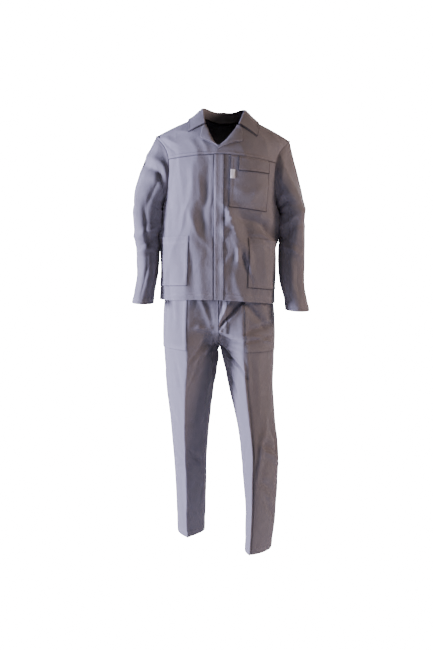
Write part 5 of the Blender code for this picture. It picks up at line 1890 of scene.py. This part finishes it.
@dataclass
class Lapel:
    """A lapel: the top of a front, rolled out over the yoke."""

    finishes: Finishes
    body: JacketBody
    side: Side
    roll: float = 0.0022
    lift: float = 0.0024
    cloth: float = 0.0011
    puff: float = 0.0022

    def build(self) -> None:
        """Builds the lapel."""
        at, keys = 4 * shares(0.105, 0.0032), np.arange(5.0)
        columns = columns_of(LAPEL_ROWS[self.side])
        roll_rise, *smooth = (read_table(keys, column, at) for column in columns)
        straight = [np.interp(at, keys, column) for column in columns[1:]]
        edge_x, edge_rise = np.where(at > 3, straight, smooth)
        start_x = self.body.front_edge(self.side, roll_rise) - 0.0012
        t = shares(0.045, 0.0026, low_edge=False)
        x = start_x[:, None] + (edge_x - start_x)[:, None] * t
        rise = roll_rise[:, None] + (edge_rise - roll_rise)[:, None] * t
        angle = self.side.value * self.body.angle_at(x, rise)
        points, normals = self.body.place(angle, rise), self.body.normals(angle, rise)
        height = self.lift + self.cloth + self.puff * np.sin(math.pi * t) ** 0.8
        flat = points + normals * height[:, None]
        away = unit(points[:, :1] - points[:, 2:3])
        up, turn_centre = normals[:, :1], flat[:, :1] - normals[:, :1] * self.roll
        bends = np.radians(np.linspace(-80, 78, 9))[None, :, None]
        turned = away * np.cos(bends) + up * np.sin(bends)
        grid = np.concatenate([turn_centre + turned * self.roll, flat], axis=1)
        facing = np.concatenate([unit(turned), normals], axis=1)
        v = reach(grid, 1)
        u = np.broadcast_to(reach(grid[:, -1:], 0), v.shape).copy()
        push = 0.0005 * SlackNoise(71 + self.side.value).at(u, v, 0.016) * ramp(0.003, 0.012, v)
        Cloth(
            node=f"jacket_lapel_{self.side.word}", points=grid, normals=facing, u=u, v=v, push=push,
            edges=shaped(PLAIN, TIP, EdgeShape(near=0.0), TIP),
            held="folded", rests_on=(f"jacket_yoke_{self.side.word}_cloth",),
            thickness=self.cloth, allowance=0.0,
        ).build(self.finishes)


# ========== trousers


@dataclass
class Trousers:
    """The trousers' panels, waistband, pockets, fly and button."""

    finishes: Finishes
    step: float = 0.0045
    pocket_bottom_z: float = -0.668
    pocket_start: float = 0.006
    pocket_width: float = 0.49
    pocket_fullness: float = 0.0012
    fly_bottom_z: float = -0.61
    fly_start: float = 0.752
    fly_width: float = 0.24

    def region(
        self, name: str, form: LegForm, face: Face, share: Array, z: Array, **more: object
    ) -> Cloth:
        """A piece of cloth on a leg, from a grid of shares and heights."""
        push = form.push(face, share, z) + more.pop("fullness", 0.0)
        return Cloth(
            node=name, points=form.place(face, share, z), normals=form.normals(face, share, z),
            u=form.cloth_u(face, share), v=z, push=push, **more,
        )

    def panel(self, side: Side, face: Face) -> Cloth:
        """A leg panel, from the hem to the waist."""
        form = LegForm(side)
        height = form.waist_z - form.hem_z
        share, z = np.meshgrid(shares(0.24, self.step), form.hem_z + height * shares(height, self.step))
        name = "front" if face is Face.FRONT else "back"
        inner = OVER if (side is Side.LEFT) == (face is Face.FRONT) else UNDER
        outer = OVER if face is Face.FRONT else UNDER
        sides = {Edge.FIRST: outer, Edge.LAST: inner}
        tucks = {edge: 0.003 for edge, shape in sides.items() if shape is UNDER}
        return self.region(
            f"trouser_{name}_{side.word}", form, face, share, z,
            edges={Edge.LOW: HEM, Edge.HIGH: UNDER, **sides},
            rests_on=("waistband_cloth",), tucks={Edge.HIGH: 0.008, **tucks},
        )

    def pocket(self, side: Side) -> Cloth:
        """A front pocket, sewn on flat between the side seam and the crease."""
        form = LegForm(side)
        height = form.waist_z - self.pocket_bottom_z
        z = self.pocket_bottom_z + 0.001 + (height - 0.001) * shares(height, self.step)
        across, z = np.meshgrid(shares(0.118, self.step), z)
        return self.region(
            f"front_pocket_{side.word}", form, Face.FRONT, self.pocket_start + self.pocket_width * across, z,
            fullness=np.sin(math.pi * across) * self.pocket_fullness,
            edges=shaped(POCKET_EDGE, TUCKED, PLAIN, POCKET_EDGE),
            **laid_on(f"trouser_front_{side.word}"),
        )

    def fly(self) -> Cloth:
        """The fly's facing on the left front."""
        form = LegForm(Side.LEFT)
        height = form.waist_z - self.fly_bottom_z
        z = self.fly_bottom_z + height * shares(height, self.step)
        share, z = np.meshgrid(self.fly_start + self.fly_width * shares(0.055, 0.003), z)
        return self.region(
            "fly", form, Face.FRONT, share, z,
            edges=shaped(FACED, TUCKED, POCKET_EDGE, FACED),
            **laid_on("trouser_front_left", 0.0008),
        )

    def waistband(self) -> Cloth:
        """The closed band on top of the panels."""
        left, right = LegForm(Side.LEFT), LegForm(Side.RIGHT)
        low, high = left.waist_z + 0.0003, left.band_top_z
        half, rows = np.linspace(0, 1, 61), []
        for z in low + (high - low) * shares(high - low, 0.004):
            level = np.full_like(half, z)
            quarters = (
                left.place(Face.FRONT, half, level),
                right.place(Face.FRONT, half[::-1], level)[1:],
                right.place(Face.BACK, half, level)[1:],
                left.place(Face.BACK, half[::-1], level)[1:-1],
            )
            rows.append(np.concatenate(quarters))
        points = np.array(rows)
        normals = grid_normals(points, ring=True)
        if np.sum(normals[0, 0] * points[0, 0]) < 0:
            normals = -normals
        u = reach(points, 1)
        v = np.broadcast_to(points[:, :1, 2], u.shape).copy()
        return Cloth(
            node="waistband", points=points, normals=normals, u=u, v=v,
            push=0.0004 * SlackNoise(83).at(u, v, 0.02) + 0.0004,
            edges=shaped(OVER, FACED), ring=True,
            thickness=0.0018, held="laid", allowance=0.003,
            rests_on=("trouser_front_left_cloth", "trouser_front_right_cloth"),
        )

    def build(self) -> None:
        """Builds the trousers."""
        pieces = []
        for side in Side:
            pieces += [self.panel(side, Face.FRONT), self.panel(side, Face.BACK), self.pocket(side)]
        for piece in pieces + [self.fly(), self.waistband()]:
            piece.build(self.finishes)
        WaistButton(self.finishes).build()


@dataclass
class WaistButton:
    """The four-hole button on the front of the waistband."""

    finishes: Finishes
    radius: float = 0.0085
    thickness: float = 0.003
    hole: float = 0.001
    holes_out: float = 0.0021
    rim: float = 0.0014
    rim_slope: float = 0.0008
    dish: float = 0.0007
    rounding: float = 0.0004

    def build(self) -> None:
        """Models the button with Blender's own tools and puts it where its solid is."""
        low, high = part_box("waist_button")
        centre = (low + high) / 2
        bpy.ops.object.select_all(action="DESELECT")
        bpy.ops.mesh.primitive_cylinder_add(vertices=48, radius=self.radius, depth=self.thickness)
        made = bpy.context.object
        made.name = "waist_button_disc"
        bpy.ops.object.mode_set(mode="EDIT")
        bpy.ops.mesh.select_all(action="DESELECT")
        bpy.ops.object.mode_set(mode="OBJECT")
        for face in made.data.polygons:
            face.select = face.normal.z > 0.9
        bpy.ops.object.mode_set(mode="EDIT")
        bpy.ops.mesh.inset(thickness=self.rim)
        bpy.ops.mesh.inset(thickness=self.rim_slope)
        bpy.ops.transform.translate(value=(0.0, 0.0, -self.dish))
        bpy.ops.object.mode_set(mode="OBJECT")
        for k in range(4):
            turn = math.pi / 4 + k * math.pi / 2
            place = (self.holes_out * math.cos(turn), self.holes_out * math.sin(turn), 0.0)
            bpy.ops.object.select_all(action="DESELECT")
            bpy.ops.mesh.primitive_cylinder_add(vertices=16, radius=self.hole, depth=0.02, location=place)
            drill = bpy.context.object
            self.shape(made, "BOOLEAN", operation="DIFFERENCE", object=drill, solver="EXACT")
            bpy.data.objects.remove(drill)
        self.shape(made, "BEVEL", width=self.rounding, segments=3, limit_method="ANGLE")
        turn_up = Matrix.Rotation(math.pi / 2, 4, "X")
        made.data.transform(Matrix.Translation(centre) @ turn_up)
        made.data.materials.clear()
        made.data.materials.append(self.finishes.button)
        made.data.shade_smooth()
        made.data.set_sharp_from_angle(angle=math.radians(35))
        declare(made, "grey_button", "waist_button")
        LOG.info("waist button: %d faces", len(made.data.polygons))

    def shape(self, made: bpy.types.Object, kind: str, **settings: object) -> None:
        """Applies a modifier."""
        modifier = made.modifiers.new(kind, kind)
        for key, value in settings.items():
            setattr(modifier, key, value)
        bpy.context.view_layer.objects.active = made
        bpy.ops.object.modifier_apply(modifier=modifier.name)


# ========== studio


@dataclass(frozen=True)
class SoftLight:
    """An area light that looks at the suit."""

    name: str
    place: Three
    size: float
    power: float
    colour: Three
    look_at: Three = (0.0, 0.0, -0.6)


@dataclass
class Studio:
    """The floor, the light and the camera."""

    floor_z: float = -1.4
    floor_half: float = 9.0
    camera_y: float = -3.6
    camera_z: float = -0.2
    pitch: float = math.radians(6.3)
    roll: float = math.radians(2.0)
    lens: float = 1145 / 650 * 36
    lights: tuple[SoftLight, ...] = (
        SoftLight("window", (-3.4, -0.8, -0.4), 0.8, 470.0, (0.71, 0.71, 1.0)),
        SoftLight("lamp", (2.1, -0.7, 0.4), 0.7, 42.0, (1.0, 0.76, 0.64), (0.0, 0.0, -0.35)),
        SoftLight("ceiling", (0.9, -1.8, 2.4), 1.0, 9.0, (1.0, 0.92, 0.76)),
        SoftLight("back", (1.2, 3.2, 0.6), 1.6, 70.0, (0.9, 0.93, 1.0)),
    )
    ambient: Three = (0.008, 0.008, 0.008)
    backdrop: float = 22.0

    def build(self) -> None:
        """Sets up the floor, the world, the lights and the camera."""
        self.add_floor()
        self.add_world()
        for light in self.lights:
            data = bpy.data.lights.new(light.name, "AREA")
            data.shape, data.size, data.energy, data.color = "SQUARE", light.size, light.power, light.colour
            look = (Vector(light.look_at) - Vector(light.place)).to_track_quat("-Z", "Y")
            self.put(data, light.place, look.to_matrix().to_4x4())
        self.add_camera()

    def add_floor(self) -> None:
        """A wide pale floor."""
        bench = Bench(bpy.data.materials.new("pale_floor"))
        base = bench.mix(bench.noise(bench.solid(), 0.8), (0.9, 0.9, 0.91), (0.94, 0.94, 0.94))
        matt = bench.node("ShaderNodeBsdfDiffuse", {}, {"Color": base})
        glow = bench.node("ShaderNodeEmission", {}, {"Color": base, "Strength": self.backdrop})
        bench.for_camera(glow, matt, "ShaderNodeOutputMaterial")
        half = self.floor_half
        corners = [(x * half, y * half, self.floor_z) for x, y in ((-1, -1), (1, -1), (1, 1), (-1, 1))]
        new_object("floor", np.array(corners), [(0, 1, 2, 3)], bench.owner)

    def add_world(self) -> None:
        """A white backdrop for the camera and a dim even light for the suit."""
        bench = Bench(bpy.data.worlds.new("studio"))
        bpy.context.scene.world = bench.owner
        shown = bench.node("ShaderNodeBackground", {}, {0: (1.0, 1.0, 1.0, 1.0), 1: self.backdrop})
        dim = bench.node("ShaderNodeBackground", {}, {0: opaque(self.ambient), 1: 1.0})
        bench.for_camera(shown, dim, "ShaderNodeOutputWorld")

    def add_camera(self) -> None:
        """A camera at the height, distance and tilt of the picture's."""
        data = bpy.data.cameras.new("camera")
        data.sensor_fit, data.sensor_width, data.lens = "AUTO", 36.0, self.lens
        data.clip_end = 60.0
        tilt = Matrix.Rotation(math.pi / 2 - self.pitch, 4, "X") @ Matrix.Rotation(self.roll, 4, "Z")
        place = (0.0, self.camera_y, self.camera_z)
        bpy.context.scene.camera = self.put(data, place, tilt)

    def put(self, data: bpy.types.ID, place: Three, turn: Matrix) -> bpy.types.Object:
        """Adds a light or camera at a place, turned."""
        made = bpy.data.objects.new(data.name, data)
        bpy.context.scene.collection.objects.link(made)
        made.matrix_world = Matrix.Translation(place) @ turn
        return made


def main() -> None:
    """Builds the suit and the studio."""
    logging.basicConfig(level=logging.INFO, format="%(message)s")
    Studio().build()
    finishes = Finishes()
    body = JacketBody()
    Jacket(finishes, body).build()
    Collar(finishes, body).build()
    for side in Side:
        Lapel(finishes, body, side).build()
    Trousers(finishes).build()


if __name__ == "__main__":
    main()
